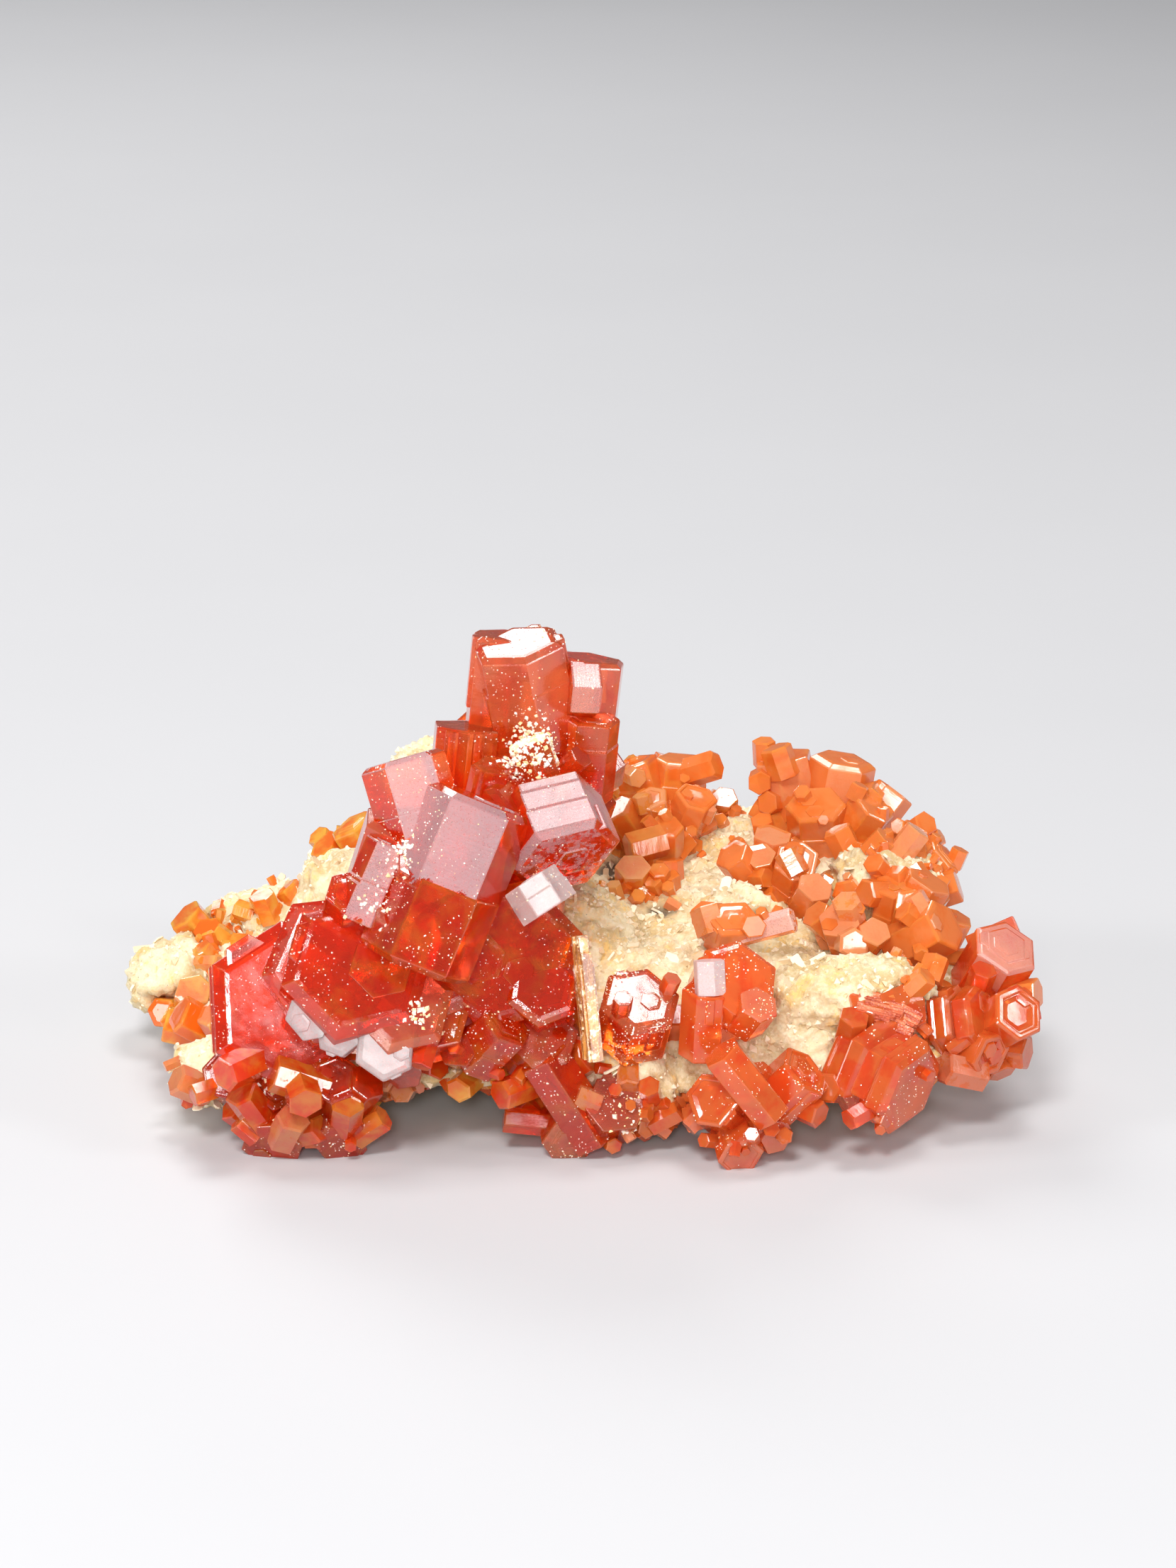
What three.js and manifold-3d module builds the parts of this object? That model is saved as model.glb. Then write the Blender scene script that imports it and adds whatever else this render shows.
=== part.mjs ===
// Vanadinite on matrix: red-orange hexagonal crystals grown over a slab of cream baryte.
// Millimetres, +Z up. +X is to the specimen's right, +Y runs away from its front.
import * as THREE from "three";
import { mergeVertices } from "three/addons/utils/BufferGeometryUtils.js";
import Module from "manifold-3d";

const wasm = await Module();
wasm.setup();

// ---- Driving dimensions ----
const SOCKET_GAP = 0.3; // clearance between a crystal and the matrix it is rooted in
const BEVEL_SHARE = 0.14; // pyramid facet, as a share of a crystal's radius
const PLAIN_RADIUS = 2.55; // crystals thinner than this have a square end
const BEVEL_SLOPE = 0.8; // pyramid facet's rise over its run

const SLAB_SEGMENTS = 24; // facets round the slab
const SLAB_RINGS = 5; // rings from its middle to its rim
const LUMP_DETAIL = 1; // subdivision of the lumps of baryte
const SLIVER = 0.1; // facets of baryte narrower than this are merged into their neighbours
const SLAB_CENTRE = [0, 5];
const BASE_CENTRE = [1, 10.5]; // the slab's lowest patch, which is worn flat
const BASE_RADII = [11, 5.5];
const UNDERSIDE_SLOPE = 1.9; // rise of the underside for each base radius out from that patch
const BASE_WEAR = 0.8; // how much of the lowest patch is worn away
const TOP_AT_FRONT = 7.2; // height of the slab's top at its front edge
const TOP_SLOPE = 0.13; // the top climbs this much for each mm to the back
const LEFT_DROP = 0.33; // and falls away left of LEFT_SHOULDER
const LEFT_SHOULDER = -11;

// The slab's rim, as [x, y, height], going round from the left tip by the back.
const RIM = [
  [-25, 7, 3.2],
  [-20.5, 12.5, 4.4],
  [-14.5, 17, 6.4],
  [-8.5, 20, 9.2],
  [0, 21, 10],
  [9, 20.5, 10],
  [16, 16.5, 9.6],
  [20, 9.5, 8.4],
  [20.8, 4, 6.8],
  [22.4, -2.5, 5.4],
  [19, -6.5, 4],
  [12, -8.3, 3.4],
  [4, -7.8, 3.2],
  [-4, -7, 3.6],
  [-12, -7, 3.2],
  [-18.5, -5, 2.8],
  [-22, 1, 2.8],
];

// ---- Solids ----
// The solid of a closed geometry.
function solidOf(geometry) {
  const bare = geometry.index ? geometry.toNonIndexed() : geometry.clone();
  bare.deleteAttribute("normal");
  bare.deleteAttribute("uv");
  const merged = mergeVertices(bare, 1e-4);
  const mesh = new wasm.Mesh({
    numProp: 3,
    vertProperties: merged.attributes.position.array,
    triVerts: new Uint32Array(merged.index.array),
  });
  return new wasm.Manifold(mesh);
}

// The three.js geometry of a solid.
function geometryOf(solid) {
  const mesh = solid.getMesh();
  const stride = mesh.numProp;
  const positions = new Float32Array(mesh.numVert * 3);
  for (let i = 0; i < mesh.numVert; i++)
    positions.set(mesh.vertProperties.subarray(i * stride, i * stride + 3), i * 3);
  const geometry = new THREE.BufferGeometry();
  geometry.setAttribute("position", new THREE.BufferAttribute(positions, 3));
  geometry.setIndex(new THREE.BufferAttribute(mesh.triVerts, 1));
  geometry.computeVertexNormals();
  return geometry;
}

const joined = (solids) => solids.reduce((all, one) => all.add(one));

// ---- Crystals ----
// Where a crystal lies: its end face looks along axis, and spin turns its six sides, in degrees.
// At spin 0 one of its edges lies level, on its right as it points at the viewer.
function placement(x, y, z, axis, spin) {
  const along = new THREE.Vector3(...axis).normalize();
  const level = new THREE.Vector3(0, 0, 1).cross(along);
  if (level.length() < 0.05) level.set(1, 0, 0);
  level.normalize();
  const third = along.clone().cross(level);
  return new THREE.Matrix4()
    .makeBasis(level, third, along)
    .multiply(new THREE.Matrix4().makeRotationZ(THREE.MathUtils.degToRad(spin)))
    .setPosition(x, y, z);
}

// A six-sided prism about +Z, centred, with pyramid facets at its free end.
function prism(radius, length, bevel) {
  const half = length / 2;
  const rise = bevel * BEVEL_SLOPE;
  const profile = [
    [0, -half],
    [radius, -half],
    [radius, half - rise],
  ];
  if (bevel > 0) profile.push([radius - bevel, half]);
  profile.push([0, half]);
  const points = profile.map(([r, h]) => new THREE.Vector2(r, h));
  return new THREE.LatheGeometry(points, 6).rotateX(Math.PI / 2).rotateZ(Math.PI / 2);
}

// One crystal: the middle of its body, the way it points, its radius and length, and its spin.
function crystal(x, y, z, axis, radius, length, spin) {
  const place = placement(x, y, z, axis, spin);
  const bevel = radius < PLAIN_RADIUS ? 0 : radius * BEVEL_SHARE;
  const body = solidOf(prism(radius, length, bevel).applyMatrix4(place));
  const socketShape = prism(radius + SOCKET_GAP, length + 2 * SOCKET_GAP, 0);
  const socket = solidOf(socketShape.applyMatrix4(place));
  return { body, socket };
}

// A bladed crystal: a thin slab of the given width, thickness and length about its axis.
function blade(x, y, z, axis, width, thickness, length, spin) {
  const place = placement(x, y, z, axis, spin);
  const grown = (by) =>
    solidOf(
      new THREE.BoxGeometry(width + by, thickness + by, length + by).applyMatrix4(place),
    );
  return { body: grown(0), socket: grown(2 * SOCKET_GAP) };
}

// ---- Crystal groups ----
// Each named group of crystals has grown together into one solid.
const groups = {
  // The tall group at the front left: wide plates at its foot, prisms above, a crown on top.
  tower: [
    // wide plates that face the front
    crystal(-16.4, -7.6, 8.1, [0.12, -0.91, 0.39], 4.9, 3.8, 30),
    crystal(-13.2, -8, 10.1, [0.15, -0.85, 0.5], 4.7, 3.6, 3),
    crystal(-12.2, -9.3, 10.6, [0.15, -0.78, 0.6], 4.5, 3.4, 9),
    crystal(-9.9, -9.9, 8.7, [0.15, -0.74, 0.65], 3.2, 3, 9),
    crystal(-7.2, -7.4, 11, [0.1, -0.85, 0.5], 3.8, 3, 20),
    crystal(-4.2, -6.8, 10.8, [0.1, -0.95, 0.3], 4.5, 5, 12),
    // the thick prisms that the rest has grown round
    crystal(-5.4, -2.6, 10.6, [0.1, 0.1, 1], 4.6, 14, 0),
    crystal(-3.2, 0.2, 17, [0.05, 0.2, 1], 3.2, 8, 10),
    crystal(-12.8, -5, 8.4, [0.1, -0.9, 0.3], 4, 4.4, 20),
    // the tall prism that crosses them, pointed at both ends
    crystal(-6.55, -8.5, 17.55, [0.38, 0.24, 0.89], 3.3, 5.8, 0),
    crystal(-8.2, -9.6, 13.6, [-0.38, -0.24, -0.89], 3.3, 5, 0),
    // shoulder on the right
    crystal(-1.4, -5.75, 17.4, [0.3, -0.75, -0.5], 3.35, 3.9, 10),
    crystal(-3.6, -5, 17.8, [0.35, -0.3, 0.88], 2.6, 4, 20),
    crystal(-2.2, -9.4, 15.2, [-0.54, 0.29, 0.79], 1.8, 2, 4),
    // shoulder on the left
    crystal(-9.1, -6.8, 19.9, [-0.28, 0.28, 0.92], 2.5, 4.4, 27),
    crystal(-11.2, -8.8, 15.7, [0.4, 0.22, 0.89], 1.6, 4.6, 0),
    crystal(-10.4, -6.6, 15.6, [0.3, -0.1, 0.95], 2.5, 6, 20),
    crystal(-12.6, -8.7, 14.5, [0.1, -0.64, 0.77], 1.5, 2.4, 10),
    // crown
    crystal(-6.6, -1.5, 19.7, [0.1, 0.14, 0.98], 2.1, 5, 10),
    crystal(-4.4, 1, 23.7, [0.1, 0.1, 0.98], 2.2, 6, 20),
    crystal(-3, -0.2, 23.8, [-0.17, -0.11, 0.98], 2.9, 6.2, 37),
    crystal(0.1, 1, 22.4, [0.12, 0.12, 0.98], 2.3, 6, 10),
    crystal(0.1, -1.3, 24.3, [0.98, 0.15, -0.08], 1.75, 1.7, 37),
    crystal(-1.2, 3, 22.6, [0.1, 0.03, 0.99], 2.6, 4.4, 5),
    crystal(0.3, -0.6, 20.2, [0.1, -0.1, 0.98], 1.8, 5, 20),
    crystal(-5, -4.3, 19.3, [0.21, -0.09, 0.97], 1.5, 3.4, 0),
    crystal(-2.4, -3.8, 20.6, [-0.31, 0.12, 0.94], 1.3, 3, 20),
    // small crystals along the foot
    crystal(-8, -9.2, 7.4, [0.1, -0.79, 0.61], 1.9, 3, 10),
    crystal(-5, -9.6, 6.8, [0.6, -0.3, 0.75], 1.7, 3.4, 15),
    crystal(-2.1, -8.3, 9, [0.05, -0.85, 0.52], 2.2, 3.4, 20),
    crystal(-2.2, -8.4, 5.9, [0.1, -0.63, 0.77], 2.2, 3.2, 5),
    // prisms that hang below the front edge
    crystal(-0.7, -9.4, 3.4, [-0.5, -0.05, 0.85], 1.6, 6, 10),
    crystal(1.6, -9, 2.4, [0.2, -0.78, 0.6], 1.9, 3.4, 0),
    crystal(-0.8, -8.6, 1.3, [0.1, -0.95, -0.2], 1.6, 3.2, 0),
    // cluster under the leftmost plate
    crystal(-19, -7, 3.4, [-0.41, -0.71, 0.58], 1.6, 3.2, 0),
    crystal(-17, -8, 3.1, [0.21, -0.77, 0.61], 1.6, 3.2, 15),
    crystal(-16.7, -8.6, 1.4, [-0.2, -0.9, -0.4], 1.9, 3.4, 10),
    crystal(-13.4, -8.8, 1.7, [0.2, -0.9, -0.4], 1.8, 3.4, 0),
    crystal(-13.6, -9.6, 4, [0.1, -0.72, 0.69], 1.6, 3.2, 20),
    // back slope of the group
    crystal(-4.6, 4.6, 19, [-0.3, 0.75, 0.6], 2.4, 4.5, 0),
    crystal(-1.6, 5, 19.6, [0.15, 0.85, 0.5], 2.2, 4.4, 15),
    crystal(-8, 3.6, 14.8, [-0.85, 0.45, 0.35], 2.4, 4.2, 10),
    crystal(-4.6, 6.6, 15, [-0.1, 0.9, 0.45], 3, 4.6, 20),
    crystal(-0.8, 5.6, 14.6, [0.55, 0.75, 0.4], 2.2, 4.4, 0),
    crystal(-12.4, -1.2, 10.4, [-0.8, 0.2, 0.55], 2.2, 4.2, 0),
    crystal(-15.2, -2.8, 7.6, [-0.8, 0.3, 0.5], 1.9, 3.8, 15),
  ],

  // A crusted baryte blade that stands against the tall group's right side.
  crusted_blade: [blade(0.3, -10.7, 9.7, [-0.1, 0.2, 0.97], 1.9, 0.9, 6.8, 80)],

  dusty_crystal: [crystal(3, -8.4, 7.7, [0.15, -0.54, 0.83], 2.45, 3.4, 5)],

  centre_group: [
    crystal(8.2, -7.8, 8.9, [0.2, -0.62, 0.76], 2.6, 3.8, 10),
    crystal(7, -9.4, 10.4, [-0.05, 0.25, 0.97], 0.95, 1.9, 30),
    crystal(6.8, -9.1, 7.7, [0.05, -0.07, 1], 1.45, 4, 30),
    crystal(9.3, -9.8, 8.4, [0.35, -0.59, 0.75], 1.2, 2.4, 10),
  ],

  right_foot: [
    crystal(9, -11.5, 5, [-0.6, -0.03, 0.8], 1.25, 4.8, 5),
    crystal(7.6, -10.2, 3.2, [-0.31, -0.8, 0.51], 1.7, 3.4, 0),
    crystal(8.5, -10.4, 1.4, [0.15, -0.9, -0.35], 1.4, 3.2, 10),
    crystal(10, -9.8, 1.8, [0.5, -0.8, -0.1], 1.1, 2.8, 0),
    crystal(11.1, -9.8, 3.9, [0.65, -0.25, 0.76], 1.8, 3.8, 15),
    crystal(9.4, -8.8, 3.2, [0.21, -0.6, 0.77], 1.5, 3.2, 0),
  ],

  // A barrel of stacked plates at the front right, with a crystal on top.
  barrel_group: [
    ...[2.6, 3.1, 2.8, 3].map((radius, n) => {
      const along = -1.5 + 1.1 * n;
      const place = [16.3 + 0.75 * along, -8.3 - 0.6 * along, 4.4 - 0.2 * along];
      return crystal(...place, [0.75, -0.62, -0.2], radius, 1.4, 8 + 3 * (n % 2));
    }),
    crystal(17.3, -5.9, 6.7, [0.35, -0.6, 0.7], 1.6, 2.8, 10),
  ],

  right_rim: [
    crystal(20.8, -4.6, 5.8, [0.83, -0.42, 0.37], 2.4, 1.4, 0),
    crystal(22, -5.2, 6.2, [0.83, -0.42, 0.37], 2.2, 1.2, 6),
    crystal(20.1, -4, 5.5, [0.83, -0.42, 0.37], 1.8, 1, 10),
    crystal(21.7, -5.6, 4.9, [0.62, -0.75, -0.1], 1.6, 3.2, 0),
    crystal(23.4, -4.8, 6, [0.41, -0.71, 0.58], 1.8, 4, 10),
    crystal(23.2, -1.2, 7.8, [0.31, -0.47, 0.83], 2.1, 4.2, 0),
    crystal(23.5, 0.8, 8.7, [0.91, 0.04, 0.41], 1.1, 3, 30),
  ],

  rim_crystal: [crystal(20.8, 4.2, 7.7, [0.42, -0.01, 0.91], 1.4, 3, 0)],

  mid_right_group: [
    crystal(19.2, 0, 9.1, [0.7, -0.4, 0.6], 1.8, 3.8, 20),
    crystal(17.6, 2.8, 10.2, [0.11, -0.21, 0.97], 1.5, 2.8, 0),
    crystal(19.2, 3, 10.4, [0.45, -0.1, 0.91], 1.5, 2.8, 15),
  ],

  mid_front_pair: [
    crystal(14.8, 0, 9.7, [-0.25, -0.6, 0.77], 1.55, 2.8, 0),
    crystal(16.1, -1, 9.4, [0.35, -0.59, 0.75], 1.05, 2.4, 20),
  ],

  level_prism_pair: [
    crystal(8.4, -1, 10, [0.1, -0.63, 0.77], 1.5, 2.8, 0),
    crystal(10.4, -2, 10.7, [0.92, -0.2, 0.34], 0.85, 3.2, 30),
  ],

  mid_back_group: [
    crystal(12.2, 6, 10.8, [0.1, -0.55, 0.82], 1.7, 2.8, 10),
    crystal(13, 4.2, 10.2, [0.25, -0.6, 0.77], 1.2, 2.4, 0),
    crystal(11, 8, 11.4, [0, -0.21, 0.98], 1.3, 2.8, 20),
    crystal(9.3, 6.6, 11.2, [-0.51, -0.36, 0.78], 1.2, 2.4, 0),
  ],

  back_left_group: [
    crystal(3.6, 16, 13, [-0.31, 0.12, 0.94], 1.6, 3.2, 0),
    crystal(5.8, 16.6, 13, [0.1, 0.03, 0.99], 1.8, 3, 15),
    crystal(4.4, 13.4, 12, [-0.21, -0.34, 0.91], 1.4, 2.8, 0),
    crystal(6.4, 13.6, 12, [0.31, -0.33, 0.89], 1.5, 2.8, 20),
    crystal(2.6, 12.6, 11.8, [-0.5, -0.2, 0.83], 1.3, 2.6, 10),
    crystal(5, 11, 11.2, [0, -0.42, 0.91], 1.3, 2.6, 0),
  ],

  pit_crystal: [crystal(3, 8, 9.8, [0, -0.42, 0.91], 1.2, 2.4, 0)],

  back_right_group: [
    crystal(12.2, 16, 13, [-0.21, 0.03, 0.98], 2, 3.6, 0),
    crystal(15.2, 15.6, 13, [0.16, 0.03, 0.98], 2.4, 3.8, 18),
    crystal(17.6, 14, 12, [0.6, 0.18, 0.78], 1.5, 3.2, 0),
    crystal(13.9, 12.6, 11.8, [-0.1, -0.42, 0.9], 1.9, 3.2, 10),
    crystal(16.4, 12.2, 11.9, [0.5, -0.23, 0.83], 1.6, 3.2, 0),
  ],

  side_rim_group: [
    crystal(18.9, 10.4, 10.8, [0.6, -0.14, 0.79], 1.4, 3.2, 0),
    crystal(20, 8.6, 10.2, [0.72, -0.08, 0.69], 1.5, 3.2, 15),
    crystal(20.6, 6.9, 9.6, [0.93, -0.09, 0.36], 1.2, 2.6, 0),
  ],

  left_tip_pair: [
    crystal(-24, 6, 2.6, [-0.23, -0.75, 0.2], 1.1, 2.6, 0),
    crystal(-22.4, 4, 4, [0.1, -0.72, 0.69], 1.3, 2.8, 10),
  ],

  left_knob_crystal: [crystal(-22.6, 10.8, 5.8, [-0.6, -0.14, 0.79], 1.3, 2.6, 0)],

  back_left_pair: [
    crystal(-12.8, 12.4, 10.6, [-0.51, -0.1, 0.86], 1.6, 3, 0),
    crystal(-14.4, 12.8, 9.6, [-0.6, -0.3, 0.7], 1.2, 2.6, 10),
  ],

  far_edge_left: [
    crystal(-6.4, 19.4, 9.4, [-0.3, 0.75, 0.6], 2, 3.8, 0),
    crystal(-4, 20, 8.4, [0.1, 0.9, 0.35], 1.6, 3.6, 15),
    crystal(-5.8, 18.2, 11, [-0.1, 0.4, 0.9], 1.4, 3, 0),
  ],

  far_edge_middle: [
    crystal(2.4, 20.4, 8.6, [0.05, 0.95, 0.25], 2.2, 3.8, 20),
    crystal(5.2, 20.2, 7.4, [0.3, 0.9, -0.1], 1.6, 3.6, 0),
    crystal(4.4, 19.8, 10.2, [0.2, 0.7, 0.65], 1.5, 3.4, 5),
  ],

  far_edge_right: [
    crystal(13.2, 18.4, 9.2, [0.4, 0.85, 0.3], 2, 3.8, 0),
    crystal(16, 16.6, 8, [0.65, 0.75, 0.05], 1.7, 3.6, 15),
    crystal(11, 19.4, 7.6, [0.2, 0.95, -0.1], 1.5, 3.4, 10),
  ],

  low_left_pair: [
    crystal(-21.6, -0.6, 4.2, [-0.8, -0.2, 0.55], 1.5, 3, 0),
    crystal(-22.4, 1.2, 3.2, [-0.95, 0.1, 0.2], 1.2, 2.8, 15),
  ],
};

// ---- Matrix ----
// Low, irregular relief of the baryte, in mm.
function relief(x, y) {
  const broad = Math.sin(0.42 * x + 0.3 * y + 1.2) * Math.cos(0.38 * y - 0.17 * x);
  const knobs = Math.sin(0.95 * x - 0.5 * y) * Math.cos(0.8 * y + 0.35 * x + 0.7);
  const grit = Math.sin(1.9 * x + 0.4 * y + 2) * Math.sin(1.7 * y - 0.6 * x);
  return 0.5 * broad + 0.4 * knobs + 0.22 * grit;
}

// Height of the slab's top before its rim rounds it off.
function topAt(x, y) {
  const slope = TOP_AT_FRONT + TOP_SLOPE * (y - RIM[12][1]);
  return slope - LEFT_DROP * Math.max(0, LEFT_SHOULDER - x) + relief(x, y);
}

// Height of its underside: below the ground plane over the base patch, rising outside it.
function undersideAt(x, y) {
  const outward = Math.hypot(
    (x - BASE_CENTRE[0]) / BASE_RADII[0],
    (y - BASE_CENTRE[1]) / BASE_RADII[1],
  );
  return UNDERSIDE_SLOPE * (outward - 1) - BASE_WEAR + 0.6 * relief(y, x);
}

// The slab is a closed sheet: rings of its top from the middle out, then of its underside back in.
function slab() {
  const rim = new THREE.CatmullRomCurve3(
    RIM.map((p) => new THREE.Vector3(...p)),
    true,
  );
  const outline = rim.getSpacedPoints(SLAB_SEGMENTS).slice(0, SLAB_SEGMENTS);
  const [cx, cy] = SLAB_CENTRE;
  const vertices = [];
  const ring = (share, heightAt) => {
    const fullness = Math.sqrt(Math.max(0, 1 - share ** 5));
    for (const edge of outline) {
      const x = cx + (edge.x - cx) * share;
      const y = cy + (edge.y - cy) * share;
      vertices.push([x, y, edge.z + (heightAt(x, y) - edge.z) * fullness]);
    }
  };
  vertices.push([cx, cy, topAt(cx, cy)]);
  for (let i = 1; i <= SLAB_RINGS; i++) ring(i / SLAB_RINGS, topAt);
  for (let i = SLAB_RINGS - 1; i >= 1; i--) ring(i / SLAB_RINGS, undersideAt);
  vertices.push([cx, cy, undersideAt(cx, cy)]);

  const faces = [];
  const rings = 2 * SLAB_RINGS - 1;
  const at = (i, j) => 1 + i * SLAB_SEGMENTS + (j % SLAB_SEGMENTS);
  const last = vertices.length - 1;
  for (let j = 0; j < SLAB_SEGMENTS; j++) {
    faces.push(0, at(0, j + 1), at(0, j));
    for (let i = 0; i < rings - 1; i++) {
      faces.push(at(i, j), at(i, j + 1), at(i + 1, j));
      faces.push(at(i, j + 1), at(i + 1, j + 1), at(i + 1, j));
    }
    faces.push(at(rings - 1, j), at(rings - 1, j + 1), last);
  }
  const geometry = new THREE.BufferGeometry();
  geometry.setAttribute("position", new THREE.Float32BufferAttribute(vertices.flat(), 3));
  geometry.setIndex(faces);
  return solidOf(geometry);
}

// A lump of baryte: a roughened ellipsoid, leaning by lean degrees towards +X.
function lump(x, y, z, rx, ry, rz, lean = 0) {
  const geometry = new THREE.IcosahedronGeometry(1, LUMP_DETAIL).scale(rx, ry, rz);
  geometry.rotateY(THREE.MathUtils.degToRad(lean)).translate(x, y, z);
  const position = geometry.attributes.position;
  for (let i = 0; i < position.count; i++) {
    const rough = relief(position.getX(i) * 1.7, position.getZ(i) * 1.7);
    position.setY(i, position.getY(i) + 0.5 * rough);
    position.setZ(i, position.getZ(i) + 0.4 * rough);
  }
  return solidOf(geometry);
}

const lumps = [
  lump(-4, 3, 7.5, 8, 6, 3.8), // rise round the tall group
  lump(-23, 7.4, 3.8, 3.4, 2.8, 2.3), // left tip
  lump(-19.6, 11.6, 5.2, 3.2, 2.6, 2.2, -10),
  lump(-16.6, 9.4, 6.6, 3, 2.6, 2.4, -10),
  lump(-13.4, 7.4, 8.8, 3, 3, 3, -20),
  lump(-13, 16.4, 7.2, 3.6, 2.6, 2.8, -20),
  lump(-9.2, 17.6, 11.4, 3, 2.6, 3.2),
  lump(-20.5, -4.3, 2.9, 2.2, 2.2, 1.7), // knob of the left foot
  lump(15, -4.4, 7.2, 5.2, 2.6, 2.2), // cream ridge at the front right
  lump(17.6, 6.6, 10, 3.2, 3, 2.4), // white knobs in the middle
  lump(9.4, 3.8, 8.8, 2.6, 1.8, 2),
  lump(2.6, -7.4, 3.4, 2.6, 2, 2.6), // foot between the front prisms
];

// ---- Assembly ----
const crystalMaterial = new THREE.MeshStandardMaterial({
  color: 0xc8300e,
  roughness: 0.15,
  metalness: 0,
});
const bladeMaterial = new THREE.MeshStandardMaterial({
  color: 0xb9853c,
  roughness: 0.45,
  metalness: 0,
});
const matrixMaterial = new THREE.MeshStandardMaterial({
  color: 0xe6d7ac,
  roughness: 0.9,
  metalness: 0,
});

const specimen = new THREE.Group();
function addPiece(name, solid, material) {
  const mesh = new THREE.Mesh(geometryOf(solid), material);
  mesh.name = name;
  specimen.add(mesh);
}

// Everything stands on the plane z = 0, so what would reach below it is cut off flat.
const underfoot = solidOf(new THREE.BoxGeometry(100, 100, 20).translate(0, 0, -10));
let matrix = joined([slab(), ...lumps]).subtract(underfoot);
for (const [name, members] of Object.entries(groups)) {
  const solid = joined(members.map((one) => one.body)).subtract(underfoot);
  addPiece(name, solid, name === "crusted_blade" ? bladeMaterial : crystalMaterial);
  matrix = matrix.subtract(joined(members.map((one) => one.socket)));
}
addPiece("matrix", matrix.simplify(SLIVER), matrixMaterial);

// The frame's origin is the middle of the underside.
const box = new THREE.Box3().setFromObject(specimen);
const middle = box.getCenter(new THREE.Vector3());
specimen.position.set(-middle.x, -middle.y, -box.min.z);

export default specimen;
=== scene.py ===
"""Vanadinite on matrix: the looks.

Red and orange hexagonal crystals stand on a slab of cream baryte. Every crystal group is rebuilt here
with growth ledges, stepped ends and crystals grown side by side. The slab is broken up into rough
rock, and small crystals, baryte blades, grains and dust lie on it. Lengths in the tables are
millimetres, in the specimen's own frame, with x to its right, y to its back and z up.
"""

import math
import random

import bpy
import numpy as np
from mathutils import Matrix, Vector, noise


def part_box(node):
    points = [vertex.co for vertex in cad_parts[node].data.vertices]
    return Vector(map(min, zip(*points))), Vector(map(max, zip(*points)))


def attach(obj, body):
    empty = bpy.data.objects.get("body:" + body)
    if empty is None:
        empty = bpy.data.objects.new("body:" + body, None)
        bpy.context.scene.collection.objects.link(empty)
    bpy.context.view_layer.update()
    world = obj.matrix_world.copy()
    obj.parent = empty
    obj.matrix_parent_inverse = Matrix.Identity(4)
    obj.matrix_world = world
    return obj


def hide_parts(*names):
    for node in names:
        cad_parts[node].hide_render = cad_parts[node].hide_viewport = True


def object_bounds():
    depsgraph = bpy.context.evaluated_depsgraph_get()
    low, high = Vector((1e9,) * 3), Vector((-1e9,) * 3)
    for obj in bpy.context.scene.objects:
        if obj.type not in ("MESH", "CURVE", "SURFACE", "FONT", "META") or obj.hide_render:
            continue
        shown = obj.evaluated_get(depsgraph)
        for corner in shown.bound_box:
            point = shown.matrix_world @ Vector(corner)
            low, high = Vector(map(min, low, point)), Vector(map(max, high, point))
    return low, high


MM = 0.001
SIXTH = math.pi / 3
APOTHEM = math.cos(math.pi / 6)
TINY = 1e-6  # keeps a division from failing

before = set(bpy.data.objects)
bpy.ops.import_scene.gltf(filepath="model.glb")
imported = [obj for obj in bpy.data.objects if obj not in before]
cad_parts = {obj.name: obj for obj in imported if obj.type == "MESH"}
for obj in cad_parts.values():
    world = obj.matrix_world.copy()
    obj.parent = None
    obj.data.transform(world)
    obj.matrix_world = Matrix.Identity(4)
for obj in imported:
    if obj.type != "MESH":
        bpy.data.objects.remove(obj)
cad_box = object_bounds()

# The frame's origin is the middle of the base, and the tables are measured from an older origin.
# The crusted blade is symmetric about its own middle, so its box gives the step between the two.
BLADE_MIDDLE = Vector((0.3, -10.7, 9.7))
blade_low, blade_high = (Vector(corner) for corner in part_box("crusted_blade"))
SHIFT = (blade_low + blade_high) / (2 * MM) - BLADE_MIDDLE


# ---- Camera and light ----
CAMERA_PLACE = Vector((0.38, -244.32, 98.93))
CAMERA_PITCH = 18.246  # degrees below level
CAMERA_LENS = 105.8


def make_camera():
    data = bpy.data.cameras.new("camera")
    data.lens = CAMERA_LENS
    data.sensor_width = 36
    data.clip_start = 0.01
    data.clip_end = 10
    camera = bpy.data.objects.new("camera", data)
    camera.location = (CAMERA_PLACE + SHIFT) * MM
    camera.rotation_euler = (math.radians(90 - CAMERA_PITCH), 0, 0)
    bpy.context.collection.objects.link(camera)
    bpy.context.scene.camera = camera


def softbox(name, direction, distance, width, height, power, colour=(1, 1, 1)):
    """An area light of that size in metres, seen from the specimen along direction, facing it."""
    data = bpy.data.lights.new(name, "AREA")
    data.shape = "RECTANGLE"
    data.size = width
    data.size_y = height
    data.energy = power
    data.color = colour
    light = bpy.data.objects.new(name, data)
    place = Vector(direction).normalized()
    target = Vector((0, 0, 0.01))
    light.location = target + place * distance
    light.rotation_euler = place.to_track_quat("Z", "Y").to_euler()
    bpy.context.collection.objects.link(light)


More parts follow.
